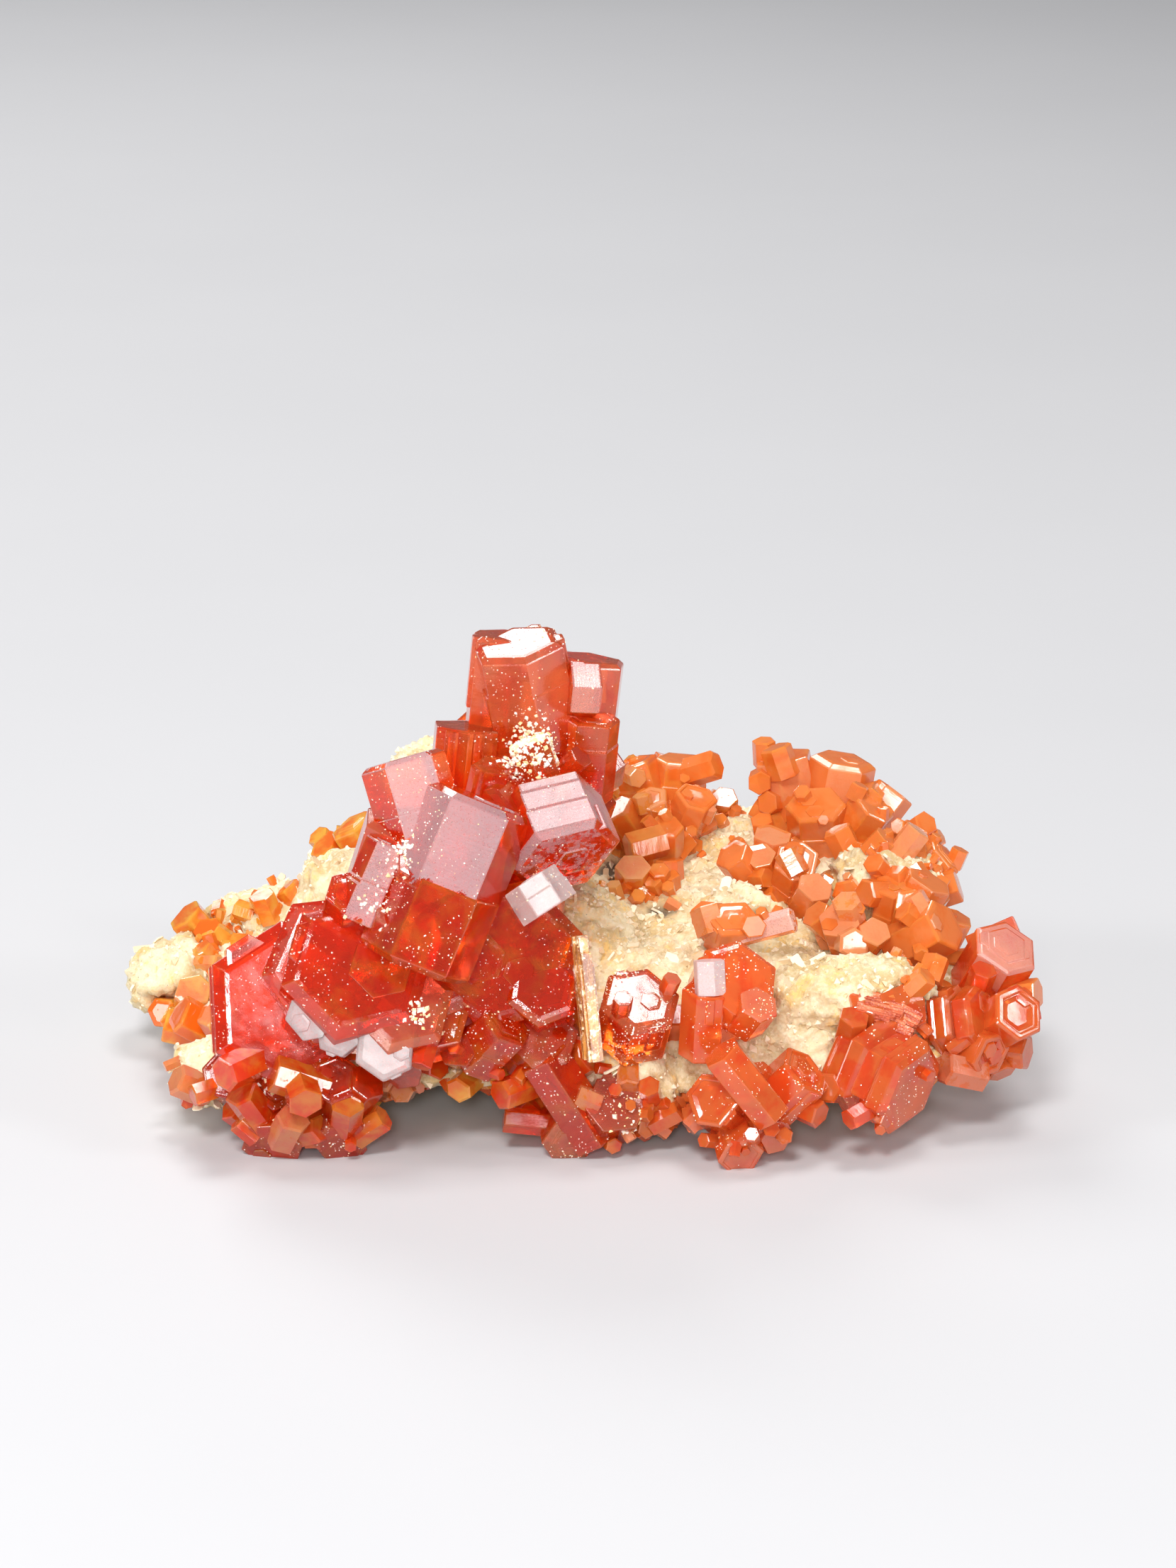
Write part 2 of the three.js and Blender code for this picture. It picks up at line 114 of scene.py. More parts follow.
def make_light():
    softbox("key", (-0.04, -0.925, 0.375), 0.5, 0.08, 0.08, 0.85)
    softbox("sheen", (0.21, -0.84, 0.5), 0.5, 0.1, 0.1, 0.12, (1, 0.97, 0.96))
    softbox("high_front", (-0.15, -0.65, 0.75), 0.5, 0.12, 0.1, 1.5)
    softbox("strip_left", (-0.61, -0.785, 0.12), 0.5, 0.1, 0.1, 0.25, (1, 0.99, 0.97))
    softbox("strip_right", (0.485, -0.87, 0.08), 0.5, 0.07, 0.07, 0.25)
    softbox("left", (-0.85, -0.25, 0.46), 0.5, 0.12, 0.12, 0.6, (1, 0.97, 0.98))
    softbox("right", (0.75, -0.35, 0.55), 0.5, 0.1, 0.1, 0.4)
    softbox("top", (0.15, 0.05, 0.98), 0.45, 0.12, 0.12, 0.7)
    softbox("back", (-0.3, 0.75, 0.6), 0.5, 0.22, 0.2, 0.9)
    world = bpy.data.worlds.new("studio")
    world.use_nodes = True
    background = world.node_tree.nodes["Background"]
    background.inputs["Color"].default_value = (0.95, 0.95, 1, 1)
    background.inputs["Strength"].default_value = 0.18
    bpy.context.scene.world = world
    bpy.context.scene.view_settings.view_transform = "Standard"


# ---- Node helpers ----
class Shader:
    """A material and short ways to add nodes to it."""

    def __init__(self, name):
        self.material = bpy.data.materials.new(name)
        self.material.use_nodes = True
        self.tree = self.material.node_tree
        self.bsdf = self.tree.nodes["Principled BSDF"]
        self.output = self.tree.nodes["Material Output"]

    def node(self, kind, **settings):
        node = self.tree.nodes.new(kind)
        for key, value in settings.items():
            setattr(node, key, value)
        return node

    def put(self, value, socket):
        """Links value to the socket if it is one, and otherwise sets it."""
        if isinstance(value, bpy.types.NodeSocket):
            self.tree.links.new(value, socket)
        else:
            socket.default_value = value

    def made(self, kind, output, inputs, **settings):
        """The output of a new node that has those inputs."""
        node = self.node(kind, **settings)
        for key, value in inputs.items():
            self.put(value, node.inputs[key])
        return node.outputs[output]

    def attribute(self, name, output="Fac"):
        return self.made("ShaderNodeAttribute", output, {}, attribute_name=name)

    def object_mm(self):
        """The point in millimetres, in the specimen's frame."""
        place = self.made("ShaderNodeTexCoord", "Object", {})
        inputs = {0: place, "Scale": 1 / MM}
        return self.made("ShaderNodeVectorMath", "Vector", inputs, operation="SCALE")

    def vector_math(self, operation, a, b):
        return self.made("ShaderNodeVectorMath", "Vector", {0: a, 1: b}, operation=operation)

    def math(self, operation, a, b=0.0, c=0.0):
        return self.made("ShaderNodeMath", 0, {0: a, 1: b, 2: c}, operation=operation)

    def noise(self, place, scale, detail=3.0, roughness=0.55, distortion=0.0):
        inputs = {"Vector": place, "Scale": scale, "Detail": detail}
        inputs |= {"Roughness": roughness, "Distortion": distortion}
        return self.made("ShaderNodeTexNoise", "Fac", inputs)

    def cells(self, place, scale):
        """How far a point is from the middle of the nearest cell."""
        return self.made("ShaderNodeTexVoronoi", "Distance", {"Vector": place, "Scale": scale})

    def band(self, value, low, high, bottom=0.0, top=1.0):
        """Value taken smoothly from bottom at low to top at high."""
        inputs = {"Value": value, "From Min": low, "From Max": high, "To Min": bottom, "To Max": top}
        return self.made("ShaderNodeMapRange", 0, inputs, interpolation_type="SMOOTHSTEP")

    def blend(self, amount, a, b):
        return self.made("ShaderNodeMix", 2, {0: amount, 6: a, 7: b}, data_type="RGBA")

    def bump(self, height, distance, strength=1.0, below=None):
        inputs = {"Height": height, "Distance": distance, "Strength": strength}
        if below is not None:
            inputs["Normal"] = below
        return self.made("ShaderNodeBump", "Normal", inputs)

    def set(self, **sockets):
        for key, value in sockets.items():
            self.put(value, self.bsdf.inputs[key.replace("_", " ")])


# ---- Crystal material ----
CORAL_RIGHT = (0, 7)  # x at which the coral tint sets in, and where it is full
CORAL_HEIGHT = (19, 22)


def crystal_material(name, body, edge, coral, thin_film_sheen, film_and_sheen, density, absorb, through):
    """Glassy vanadinite. body and edge are its colours in thick and thin places, coral the colour it
    takes on the right and at the top, and the next two those of the dull film on it where it is thin
    and thick, which is partly painted sheen, as it lies on faces turned to the front lamps. density
    and absorb say how light is lost inside, and through is the share of light let through its skin."""
    s = Shader(name)
    place = s.object_mm()
    grown = s.attribute("grown", "Vector")
    rim = s.attribute("rim")
    shade = s.attribute("shade")

    # cloudy zones inside, paler towards the rims
    cloud = s.noise(grown, 0.5, 4, 0.6, 0.4)
    lit = s.math("MULTIPLY_ADD", rim, 0.12, cloud)
    lit = s.math("MULTIPLY_ADD", shade, 0.17, lit)
    colour = s.blend(s.band(lit, 0.55, 0.85), body, edge)

    # the crystals on the right and at the very top are more coral than the rest
    sides = s.node("ShaderNodeSeparateXYZ")
    s.put(place, sides.inputs[0])
    right = s.band(sides.outputs["X"], *CORAL_RIGHT)
    high = s.band(sides.outputs["Z"], *CORAL_HEIGHT)
    warm = s.math("MULTIPLY", s.math("MAXIMUM", right, high), s.band(cloud, 0.35, 0.6, 0.3, 1))
    colour = s.blend(warm, colour, coral)

    # a dull film towards the end of some crystals, with a ragged border: partly real film and partly
    # painted sheen
    ragged = s.math("MULTIPLY_ADD", s.noise(grown, 1.3, 5, 0.7), 0.5, -0.25)
    film_sheen_reach = s.math("ADD", s.attribute("film_sheen_reach"), ragged)
    fine = s.noise(place, 9, 3, 0.7)
    film_sheen_mask = s.math("MULTIPLY", s.band(film_sheen_reach, -0.015, 0.015), s.band(fine, 0.25, 0.6, 0.7, 1))
    thickness = s.attribute("film_and_sheen")
    film_sheen_colour = s.blend(s.band(thickness, 0.4, 0.85), thin_film_sheen, film_and_sheen)
    # where the film is thickest it is white: a painted reflection
    film_sheen_colour = s.blend(s.band(thickness, 0.9, 1), film_sheen_colour, (1, 1, 1, 1))
    film_sheen_cover = s.math("MULTIPLY", film_sheen_mask, thickness)
    colour = s.blend(film_sheen_cover, colour, film_sheen_colour)

    striped = s.vector_math("MULTIPLY", grown, (0.5, 0.5, 7))
    stripes = s.noise(striped, 1.0, 4, 0.6)
    pits = s.band(s.cells(grown, 2.6), 0.0, 0.16)
    waves = s.noise(grown, 0.4, 2)
    normal = s.bump(waves, 0.00012, 0.5)
    normal = s.bump(stripes, 0.00002, 0.4, normal)
    normal = s.bump(pits, 0.00002, 0.3, normal)
    normal = s.bump(fine, 0.00001, 0.3, normal)

    rough = s.math("MULTIPLY_ADD", film_sheen_cover, 0.3, 0.07)
    s.set(Base_Color=colour, Roughness=rough, Normal=normal)
    s.set(IOR=1.75, Transmission_Weight=through)
    inside = s.node("ShaderNodeVolumeAbsorption")
    inside.inputs["Color"].default_value = absorb
    inside.inputs["Density"].default_value = density
    s.tree.links.new(inside.outputs[0], s.output.inputs["Volume"])
    return s.material


def make_crystal_materials():
    # each look's two film colours, where thin and where thick, are partly painted sheen
    return {
        "deep": crystal_material(
            "vanadinite_deep",
            body=(0.96, 0.05, 0.004, 1),
            edge=(1, 0.2, 0.015, 1),
            coral=(1, 0.2, 0.03, 1),
            thin_film_sheen=(1, 0.5, 0.34, 1),
            film_and_sheen=(0.98, 0.82, 0.87, 1),
            density=80.0,
            absorb=(1, 0.3, 0.05, 1),
            through=0.75,
        ),
        "coral": crystal_material(
            "vanadinite_coral",
            body=(1, 0.06, 0.006, 1),
            edge=(1, 0.3, 0.035, 1),
            coral=(1, 0.2, 0.04, 1),
            thin_film_sheen=(1, 0.55, 0.4, 1),
            film_and_sheen=(1, 0.8, 0.8, 1),
            density=50.0,
            absorb=(1, 0.35, 0.08, 1),
            through=0.57,
        ),
        "orange": crystal_material(
            "vanadinite_orange",
            body=(1, 0.19, 0.014, 1),
            edge=(1, 0.5, 0.06, 1),
            coral=(1, 0.27, 0.06, 1),
            thin_film_sheen=(1, 0.6, 0.38, 1),
            film_and_sheen=(1, 0.75, 0.68, 1),
            density=30.0,
            absorb=(1, 0.45, 0.1, 1),
            through=0.36,
        ),
    }


# ---- Crystals ----
# The groups of crystals that have grown together, as in the solid model: the middle of each one's
# body, the way its end looks, its radius and length, its spin about that axis in degrees, and for
# some the share of the length that is clear of film and painted sheen and how thick they are, 1
# being white, a painted reflection.
BARREL_PLATES = [
    (
        16.3 + 0.75 * along,
        -8.3 - 0.6 * along,
        4.4 - 0.2 * along,
        (0.75, -0.62, -0.2),
        radius,
        1.4,
        spin,
    )
    for along, radius, spin in ((-1.5, 2.6, 8), (-0.4, 3.1, 11), (0.7, 2.8, 8), (1.8, 3, 11))
]
CRYSTALS = {
    # the tall group at the front left: wide plates at its foot, prisms above, a crown on top
    "tower": [
        # wide plates that face the front
        (-16.4, -7.6, 8.1, (0.12, -0.91, 0.39), 4.9, 3.8, 30, 1.3),
        (-13.2, -8, 10.1, (0.15, -0.85, 0.5), 4.7, 3.6, 3, 0.9),
        (-12.2, -9.3, 10.6, (0.15, -0.78, 0.6), 4.5, 3.4, 9, 1.3),
        (-9.9, -9.9, 8.7, (0.15, -0.74, 0.65), 3.2, 3, 9, 0.6),
        (-7.2, -7.4, 11, (0.1, -0.85, 0.5), 3.8, 3, 20, 1.3),
        (-4.2, -6.8, 10.8, (0.1, -0.95, 0.3), 4.5, 5, 12, 1.4),
        # the thick prisms that the rest has grown round
        (-5.4, -2.6, 10.6, (0.1, 0.1, 1), 4.6, 14, 0),
        (-3.2, 0.2, 17, (0.05, 0.2, 1), 3.2, 8, 10),
        (-12.8, -5, 8.4, (0.1, -0.9, 0.3), 4, 4.4, 20),
        # the tall prism that crosses them, pointed at both ends
        (-6.55, -8.5, 17.55, (0.38, 0.24, 0.89), 3.3, 5.8, 0, 0.1, 0.88),
        (-8.2, -9.6, 13.6, (-0.38, -0.24, -0.89), 3.3, 5, 0, 1.4),
        # shoulder on the right
        (-1.4, -5.75, 17.4, (0.3, -0.75, -0.5), 3.35, 3.9, 10, -0.3, 0.8),
        (-3.6, -5, 17.8, (0.35, -0.3, 0.88), 2.6, 4, 20),
        # white all over: a painted reflection
        (-2.2, -9.4, 15.2, (-0.54, 0.29, 0.79), 1.8, 2, 4, -0.3, 1),
        # shoulder on the left
        (-9.1, -6.8, 19.9, (-0.28, 0.28, 0.92), 2.5, 4.4, 27, -0.3, 0.88),
        (-11.2, -8.8, 15.7, (0.4, 0.22, 0.89), 1.6, 4.6, 0, 0, 0.8),
        (-10.4, -6.6, 15.6, (0.3, -0.1, 0.95), 2.5, 6, 20, 0.5),
        (-12.6, -8.7, 14.5, (0.1, -0.64, 0.77), 1.5, 2.4, 10),
        # crown
        (-6.6, -1.5, 19.7, (0.1, 0.14, 0.98), 2.1, 5, 10, 1.3),
        (-4.4, 1, 23.7, (0.1, 0.1, 0.98), 2.2, 6, 20, 0.5),
        (-3, -0.2, 23.8, (-0.17, -0.11, 0.98), 2.9, 6.2, 37, 0.35),
        (0.1, 1, 22.4, (0.12, 0.12, 0.98), 2.3, 6, 10, 0.8),
        (0.1, -1.3, 24.3, (0.98, 0.15, -0.08), 1.75, 1.7, 37, -0.3, 0.7),
        (-1.2, 3, 22.6, (0.1, 0.03, 0.99), 2.6, 4.4, 5),
        (0.3, -0.6, 20.2, (0.1, -0.1, 0.98), 1.8, 5, 20, 1.3),
        (-5, -4.3, 19.3, (0.21, -0.09, 0.97), 1.5, 3.4, 0),
        (-2.4, -3.8, 20.6, (-0.31, 0.12, 0.94), 1.3, 3, 20),
        # small crystals along the foot
        (-8, -9.2, 7.4, (0.1, -0.79, 0.61), 1.9, 3, 10),
        (-5, -9.6, 6.8, (0.6, -0.3, 0.75), 1.7, 3.4, 15),
        (-2.1, -8.3, 9, (0.05, -0.85, 0.52), 2.2, 3.4, 20),
        (-2.2, -8.4, 5.9, (0.1, -0.63, 0.77), 2.2, 3.2, 5),
        # prisms that hang below the front edge
        (-0.7, -9.4, 3.4, (-0.5, -0.05, 0.85), 1.6, 6, 10),
        (1.6, -9, 2.4, (0.2, -0.78, 0.6), 1.9, 3.4, 0),
        (-0.8, -8.6, 1.3, (0.1, -0.95, -0.2), 1.6, 3.2, 0),
        # cluster under the leftmost plate
        (-19, -7, 3.4, (-0.41, -0.71, 0.58), 1.6, 3.2, 0),
        (-17, -8, 3.1, (0.21, -0.77, 0.61), 1.6, 3.2, 15),
        (-16.7, -8.6, 1.4, (-0.2, -0.9, -0.4), 1.9, 3.4, 10),
        (-13.4, -8.8, 1.7, (0.2, -0.9, -0.4), 1.8, 3.4, 0),
        (-13.6, -9.6, 4, (0.1, -0.72, 0.69), 1.6, 3.2, 20),
        # back slope of the group
        (-4.6, 4.6, 19, (-0.3, 0.75, 0.6), 2.4, 4.5, 0),
        (-1.6, 5, 19.6, (0.15, 0.85, 0.5), 2.2, 4.4, 15),
        (-8, 3.6, 14.8, (-0.85, 0.45, 0.35), 2.4, 4.2, 10),
        (-4.6, 6.6, 15, (-0.1, 0.9, 0.45), 3, 4.6, 20),
        (-0.8, 5.6, 14.6, (0.55, 0.75, 0.4), 2.2, 4.4, 0),
        (-12.4, -1.2, 10.4, (-0.8, 0.2, 0.55), 2.2, 4.2, 0),
        (-15.2, -2.8, 7.6, (-0.8, 0.3, 0.5), 1.9, 3.8, 15),
    ],
    "dusty_crystal": [
        (3, -8.4, 7.7, (0.15, -0.54, 0.83), 2.45, 3.4, 5, 0.8, 0.2),
    ],
    "centre_group": [
        (8.2, -7.8, 8.9, (0.2, -0.62, 0.76), 2.6, 3.8, 10),
        # white all over: a painted reflection
        (7, -9.4, 10.4, (-0.05, 0.25, 0.97), 0.95, 1.9, 30, -0.3, 1),
        (6.8, -9.1, 7.7, (0.05, -0.07, 1), 1.45, 4, 30),
        (9.3, -9.8, 8.4, (0.35, -0.59, 0.75), 1.2, 2.4, 10),
    ],
    "right_foot": [
        (9, -11.5, 5, (-0.6, -0.03, 0.8), 1.25, 4.8, 5),
        (7.6, -10.2, 3.2, (-0.31, -0.8, 0.51), 1.7, 3.4, 0),
        (8.5, -10.4, 1.4, (0.15, -0.9, -0.35), 1.4, 3.2, 10),
        (10, -9.8, 1.8, (0.5, -0.8, -0.1), 1.1, 2.8, 0),
        (11.1, -9.8, 3.9, (0.65, -0.25, 0.76), 1.8, 3.8, 15),
        (9.4, -8.8, 3.2, (0.21, -0.6, 0.77), 1.5, 3.2, 0),
    ],
    # a barrel of stacked plates at the front right, with a crystal on top
    "barrel_group": [
        *BARREL_PLATES,
        (17.3, -5.9, 6.7, (0.35, -0.6, 0.7), 1.6, 2.8, 10),
    ],
    "right_rim": [
        (20.8, -4.6, 5.8, (0.83, -0.42, 0.37), 2.4, 1.4, 0),
        (22, -5.2, 6.2, (0.83, -0.42, 0.37), 2.2, 1.2, 6),
        (20.1, -4, 5.5, (0.83, -0.42, 0.37), 1.8, 1, 10),
        (21.7, -5.6, 4.9, (0.62, -0.75, -0.1), 1.6, 3.2, 0),
        (23.4, -4.8, 6, (0.41, -0.71, 0.58), 1.8, 4, 10),
        (23.2, -1.2, 7.8, (0.31, -0.47, 0.83), 2.1, 4.2, 0, 0.6, 0.6),
        (23.5, 0.8, 8.7, (0.91, 0.04, 0.41), 1.1, 3, 30),
    ],
    "rim_crystal": [
        (20.8, 4.2, 7.7, (0.42, -0.01, 0.91), 1.4, 3, 0),
    ],
    "mid_right_group": [
        (19.2, 0, 9.1, (0.7, -0.4, 0.6), 1.8, 3.8, 20),
        (17.6, 2.8, 10.2, (0.11, -0.21, 0.97), 1.5, 2.8, 0),
        (19.2, 3, 10.4, (0.45, -0.1, 0.91), 1.5, 2.8, 15),
    ],
    "mid_front_pair": [
        (14.8, 0, 9.7, (-0.25, -0.6, 0.77), 1.55, 2.8, 0),
        (16.1, -1, 9.4, (0.35, -0.59, 0.75), 1.05, 2.4, 20),
    ],
    "level_prism_pair": [
        (8.4, -1, 10, (0.1, -0.63, 0.77), 1.5, 2.8, 0),
        (10.4, -2, 10.7, (0.92, -0.2, 0.34), 0.85, 3.2, 30, -0.3, 0.8),
    ],
    "mid_back_group": [
        (12.2, 6, 10.8, (0.1, -0.55, 0.82), 1.7, 2.8, 10),
        (13, 4.2, 10.2, (0.25, -0.6, 0.77), 1.2, 2.4, 0),
        (11, 8, 11.4, (0, -0.21, 0.98), 1.3, 2.8, 20),
        (9.3, 6.6, 11.2, (-0.51, -0.36, 0.78), 1.2, 2.4, 0),
    ],
    "back_left_group": [
        (3.6, 16, 13, (-0.31, 0.12, 0.94), 1.6, 3.2, 0),
        (5.8, 16.6, 13, (0.1, 0.03, 0.99), 1.8, 3, 15),
        (4.4, 13.4, 12, (-0.21, -0.34, 0.91), 1.4, 2.8, 0),
        (6.4, 13.6, 12, (0.31, -0.33, 0.89), 1.5, 2.8, 20),
        (2.6, 12.6, 11.8, (-0.5, -0.2, 0.83), 1.3, 2.6, 10),
        (5, 11, 11.2, (0, -0.42, 0.91), 1.3, 2.6, 0),
    ],
    "pit_crystal": [
        (3, 8, 9.8, (0, -0.42, 0.91), 1.2, 2.4, 0),
    ],
    "back_right_group": [
        (12.2, 16, 13, (-0.21, 0.03, 0.98), 2, 3.6, 0, 0.4),
        (15.2, 15.6, 13, (0.16, 0.03, 0.98), 2.4, 3.8, 18, 0.3),
        (17.6, 14, 12, (0.6, 0.18, 0.78), 1.5, 3.2, 0, 0.3),
        (13.9, 12.6, 11.8, (-0.1, -0.42, 0.9), 1.9, 3.2, 10),
        (16.4, 12.2, 11.9, (0.5, -0.23, 0.83), 1.6, 3.2, 0),
    ],
    "side_rim_group": [
        (18.9, 10.4, 10.8, (0.6, -0.14, 0.79), 1.4, 3.2, 0),
        (20, 8.6, 10.2, (0.72, -0.08, 0.69), 1.5, 3.2, 15),
        (20.6, 6.9, 9.6, (0.93, -0.09, 0.36), 1.2, 2.6, 0),
    ],
    "left_tip_pair": [
        (-24, 6, 2.6, (-0.23, -0.75, 0.2), 1.1, 2.6, 0),
        (-22.4, 4, 4, (0.1, -0.72, 0.69), 1.3, 2.8, 10),
    ],
    "left_knob_crystal": [
        (-22.6, 10.8, 5.8, (-0.6, -0.14, 0.79), 1.3, 2.6, 0),
    ],
    "back_left_pair": [
        (-12.8, 12.4, 10.6, (-0.51, -0.1, 0.86), 1.6, 3, 0),
        (-14.4, 12.8, 9.6, (-0.6, -0.3, 0.7), 1.2, 2.6, 10),
    ],
    "far_edge_left": [
        (-6.4, 19.4, 9.4, (-0.3, 0.75, 0.6), 2, 3.8, 0),
        (-4, 20, 8.4, (0.1, 0.9, 0.35), 1.6, 3.6, 15),
        (-5.8, 18.2, 11, (-0.1, 0.4, 0.9), 1.4, 3, 0),
    ],
    "far_edge_middle": [
        (2.4, 20.4, 8.6, (0.05, 0.95, 0.25), 2.2, 3.8, 20),
        (5.2, 20.2, 7.4, (0.3, 0.9, -0.1), 1.6, 3.6, 0),
        (4.4, 19.8, 10.2, (0.2, 0.7, 0.65), 1.5, 3.4, 5),
    ],
    "far_edge_right": [
        (13.2, 18.4, 9.2, (0.4, 0.85, 0.3), 2, 3.8, 0),
        (16, 16.6, 8, (0.65, 0.75, 0.05), 1.7, 3.6, 15),
        (11, 19.4, 7.6, (0.2, 0.95, -0.1), 1.5, 3.4, 10),
    ],
    "low_left_pair": [
        (-21.6, -0.6, 4.2, (-0.8, -0.2, 0.55), 1.5, 3, 0),
        (-22.4, 1.2, 3.2, (-0.95, 0.1, 0.2), 1.2, 2.8, 15),
    ],
}

# Crystals too small for the solid model, one by one, in the same form.
SMALL_CRYSTALS = [
    # facets at the lower edges of the wide plates, white all over: a painted reflection
    (-14.6, -10.9, 8.7, (-0.08, -0.94, 0.33), 1.5, 2, 12, -0.3, 1),
    (-13.1, -11.1, 7.8, (-0.05, -0.94, 0.32), 1.4, 2, 40, -0.3, 1),
    (-10.6, -11.5, 7.1, (0, -0.94, 0.33), 1.9, 2, 25, -0.3, 1),
    # the rest
    (-12.2, -10, 3.8, (0.42, -0.51, 0.75), 1.2, 2.8, 0),
    (-9.5, -8.2, 5.2, (-0.2, -0.9, -0.2), 1.3, 3, 15),
    (15.8, -6.6, 7, (0.1, -0.3, 0.95), 1.3, 2.4, 20),
    (-0.9, -3.4, 20.2, (0.6, -0.3, 0.7), 0.8, 3, 0),
    (-10.7, -10.2, 13.6, (0.31, -0.47, 0.83), 0.8, 2, 0),
    (-9.2, -9.6, 16.2, (0.21, -0.48, 0.85), 1.1, 2.4, 10),
    (-6.4, -9.2, 6, (-0.2, -0.8, 0.4), 1.2, 3, 0),
    (0, 3.2, 17.8, (0.7, 0.6, 0.35), 1.9, 4, 0),
    (-0.4, 1.6, 15.2, (0.9, 0.1, 0.4), 1.9, 4, 10),
    (-8.4, 6.2, 11.6, (-0.6, 0.7, 0.4), 2.2, 4, 25),
    (-2.8, -9, 1.7, (-0.99, -0.06, 0.13), 0.8, 3, 0),
    (2.2, -10.2, 8.9, (0.1, -0.55, 0.84), 0.65, 2, 0),
    (4.7, -8.4, 9.2, (0.31, -0.33, 0.89), 0.6, 2, 20),
    (-14.9, -9.8, 2.9, (-0.42, -0.69, 0.59), 0.9, 2.4, 10),
    (14.8, -7.8, 6.6, (0.15, -0.4, 0.9), 0.95, 2.4, 0),
    (24.5, -2.6, 6.8, (0.91, -0.35, 0.23), 1, 2.4, 0),
    (22.2, -4, 8, (0.21, -0.34, 0.91), 0.8, 2.2, 15),
    (13.9, 0.8, 9.7, (-0.6, -0.3, 0.7), 1, 2.4, 5),
    (7.3, -0.2, 10.2, (-0.4, -0.45, 0.8), 1, 2.2, 10),
    (10.5, 6.8, 11, (-0.2, -0.5, 0.8), 1, 2.4, 25),
    (-23.4, 4.6, 2.6, (0, -0.9, 0.2), 1, 2.6, 0),
    (-21.6, 10, 5.4, (-0.2, -0.6, 0.7), 1, 2.4, 15),
    (-8.4, 18.8, 8, (-0.5, 0.8, 0.2), 1.5, 3.4, 10),
    (0.2, 20.4, 6.8, (-0.3, 0.9, -0.2), 1.5, 3.4, 10),
    (-20, -2, 4.6, (-0.4, -0.3, 0.85), 1.3, 2.8, 5),
    (18.6, 1.6, 9.9, (0.1, -0.5, 0.8), 1.2, 2.6, 10),
]

# The groups whose crystals are deep red or coral. The others are orange.
DEEP_GROUPS = ("tower", "dusty_crystal")
CORAL_GROUPS = ("centre_group", "right_foot", "barrel_group", "right_rim")

RING = 24  # points round a crystal, four at each of its edges
WIDE_RADIUS = 2.1
WIDE_BEVEL = 0.14  # pyramid facet of a crystal wider than that, as a share of its radius
BEVEL_SHARES = (0.03, 0.1)  # the range of that share for the others
BEVEL_SLOPE = 0.8  # rise of the facet over its run
ROOT_BEVEL = 0.6  # facet at the root, as a share of the one at the end
CHAMFER = 0.05  # width of the worn line along each edge
CHAMFER_SHARE = 0.05  # and its limit, as a share of the radius
CHAMFER_LIMIT = 0.3  # and as a share of the face it runs along
RIM = 0.24  # width of the dull band beside the worn line
RIM_SHARE = 0.22  # and its limit, as a share of the radius
RIM_LIMIT = 0.46  # as a share of a face's width
LONG_RIM_LIMIT = 0.48  # and of its length
LEAST_SIDE = 0.12  # least distance from the axis to a side, as a share of the radius
LEAST_END = 0.08  # and to a side of the end face's middle
USUAL_FILM_SHEEN = 0.28  # usual thickness of the film and painted sheen on a crystal, where 1 is white on every side, a painted reflection
FILM_SHEEN_SIDE = Vector((0, -0.9, 0.44))  # film and painted sheen lie on the faces that look this way, to the front lamps
FILM_SHEEN_LIMIT = 0.6  # least cosine between such a face's normal and that direction
ALL_CLEAR = 1.3  # a clear share that leaves no film or painted sheen, whatever its ragged border does
SMALL_CLEAR = 0.85  # of the smallest crystals, those of a greater shade have film and painted sheen
PATTERN_SPAN = 60  # how far a crystal's patterns may be moved
LEDGED_RADIUS = 1.35  # crystals at least this thick have ledges on their sides
STEPPED_RADIUS = 2.2  # and those under this one have steps or hollows on their ends


def placement(x, y, z, axis, spin):
    """A crystal's own axes: its end looks along axis, and at spin 0 one of its edges lies level."""
    along = Vector(axis).normalized()
    level = Vector((0, 0, 1)).cross(along)
    if level.length < 0.05:
        level = Vector((1, 0, 0))
    level.normalize()
    basis = Matrix((level, along.cross(level), along)).transposed().to_4x4()
    spun = basis @ Matrix.Rotation(math.radians(spin), 4, "Z")
    return Matrix.Translation(Vector((x, y, z)) + SHIFT) @ spun


def whole_row(row):
    """The row with the share of its length that is clear of film and painted sheen, which is None if
    left to chance, and their thickness."""
    return (*row, None, USUAL_FILM_SHEEN)[:9] if len(row) == 7 else (*row, USUAL_FILM_SHEEN)[:9]


LEDGE_SPAN = (0.15, 0.72)  # where ledges may lie, as shares of a crystal's length
LEDGE_INSETS = (0, 0, 0, 0.04, 0.1)  # how far a side may step inwards at a ledge
LEDGE_RISE = 0.03
END_STEPS = (0, 0, 1, 2)  # how many steps or hollows an end may have
END_INSETS = (0.06, 0.2)  # how far each lies inside the last, as shares of the radius
END_DRIFT = 0.05  # how far it may move sideways, as a share of the radius
END_LIFTS = (0.05, 0.09, -0.12)  # how far it may rise, or sink
END_RUN = 0.4  # run of its side over its rise


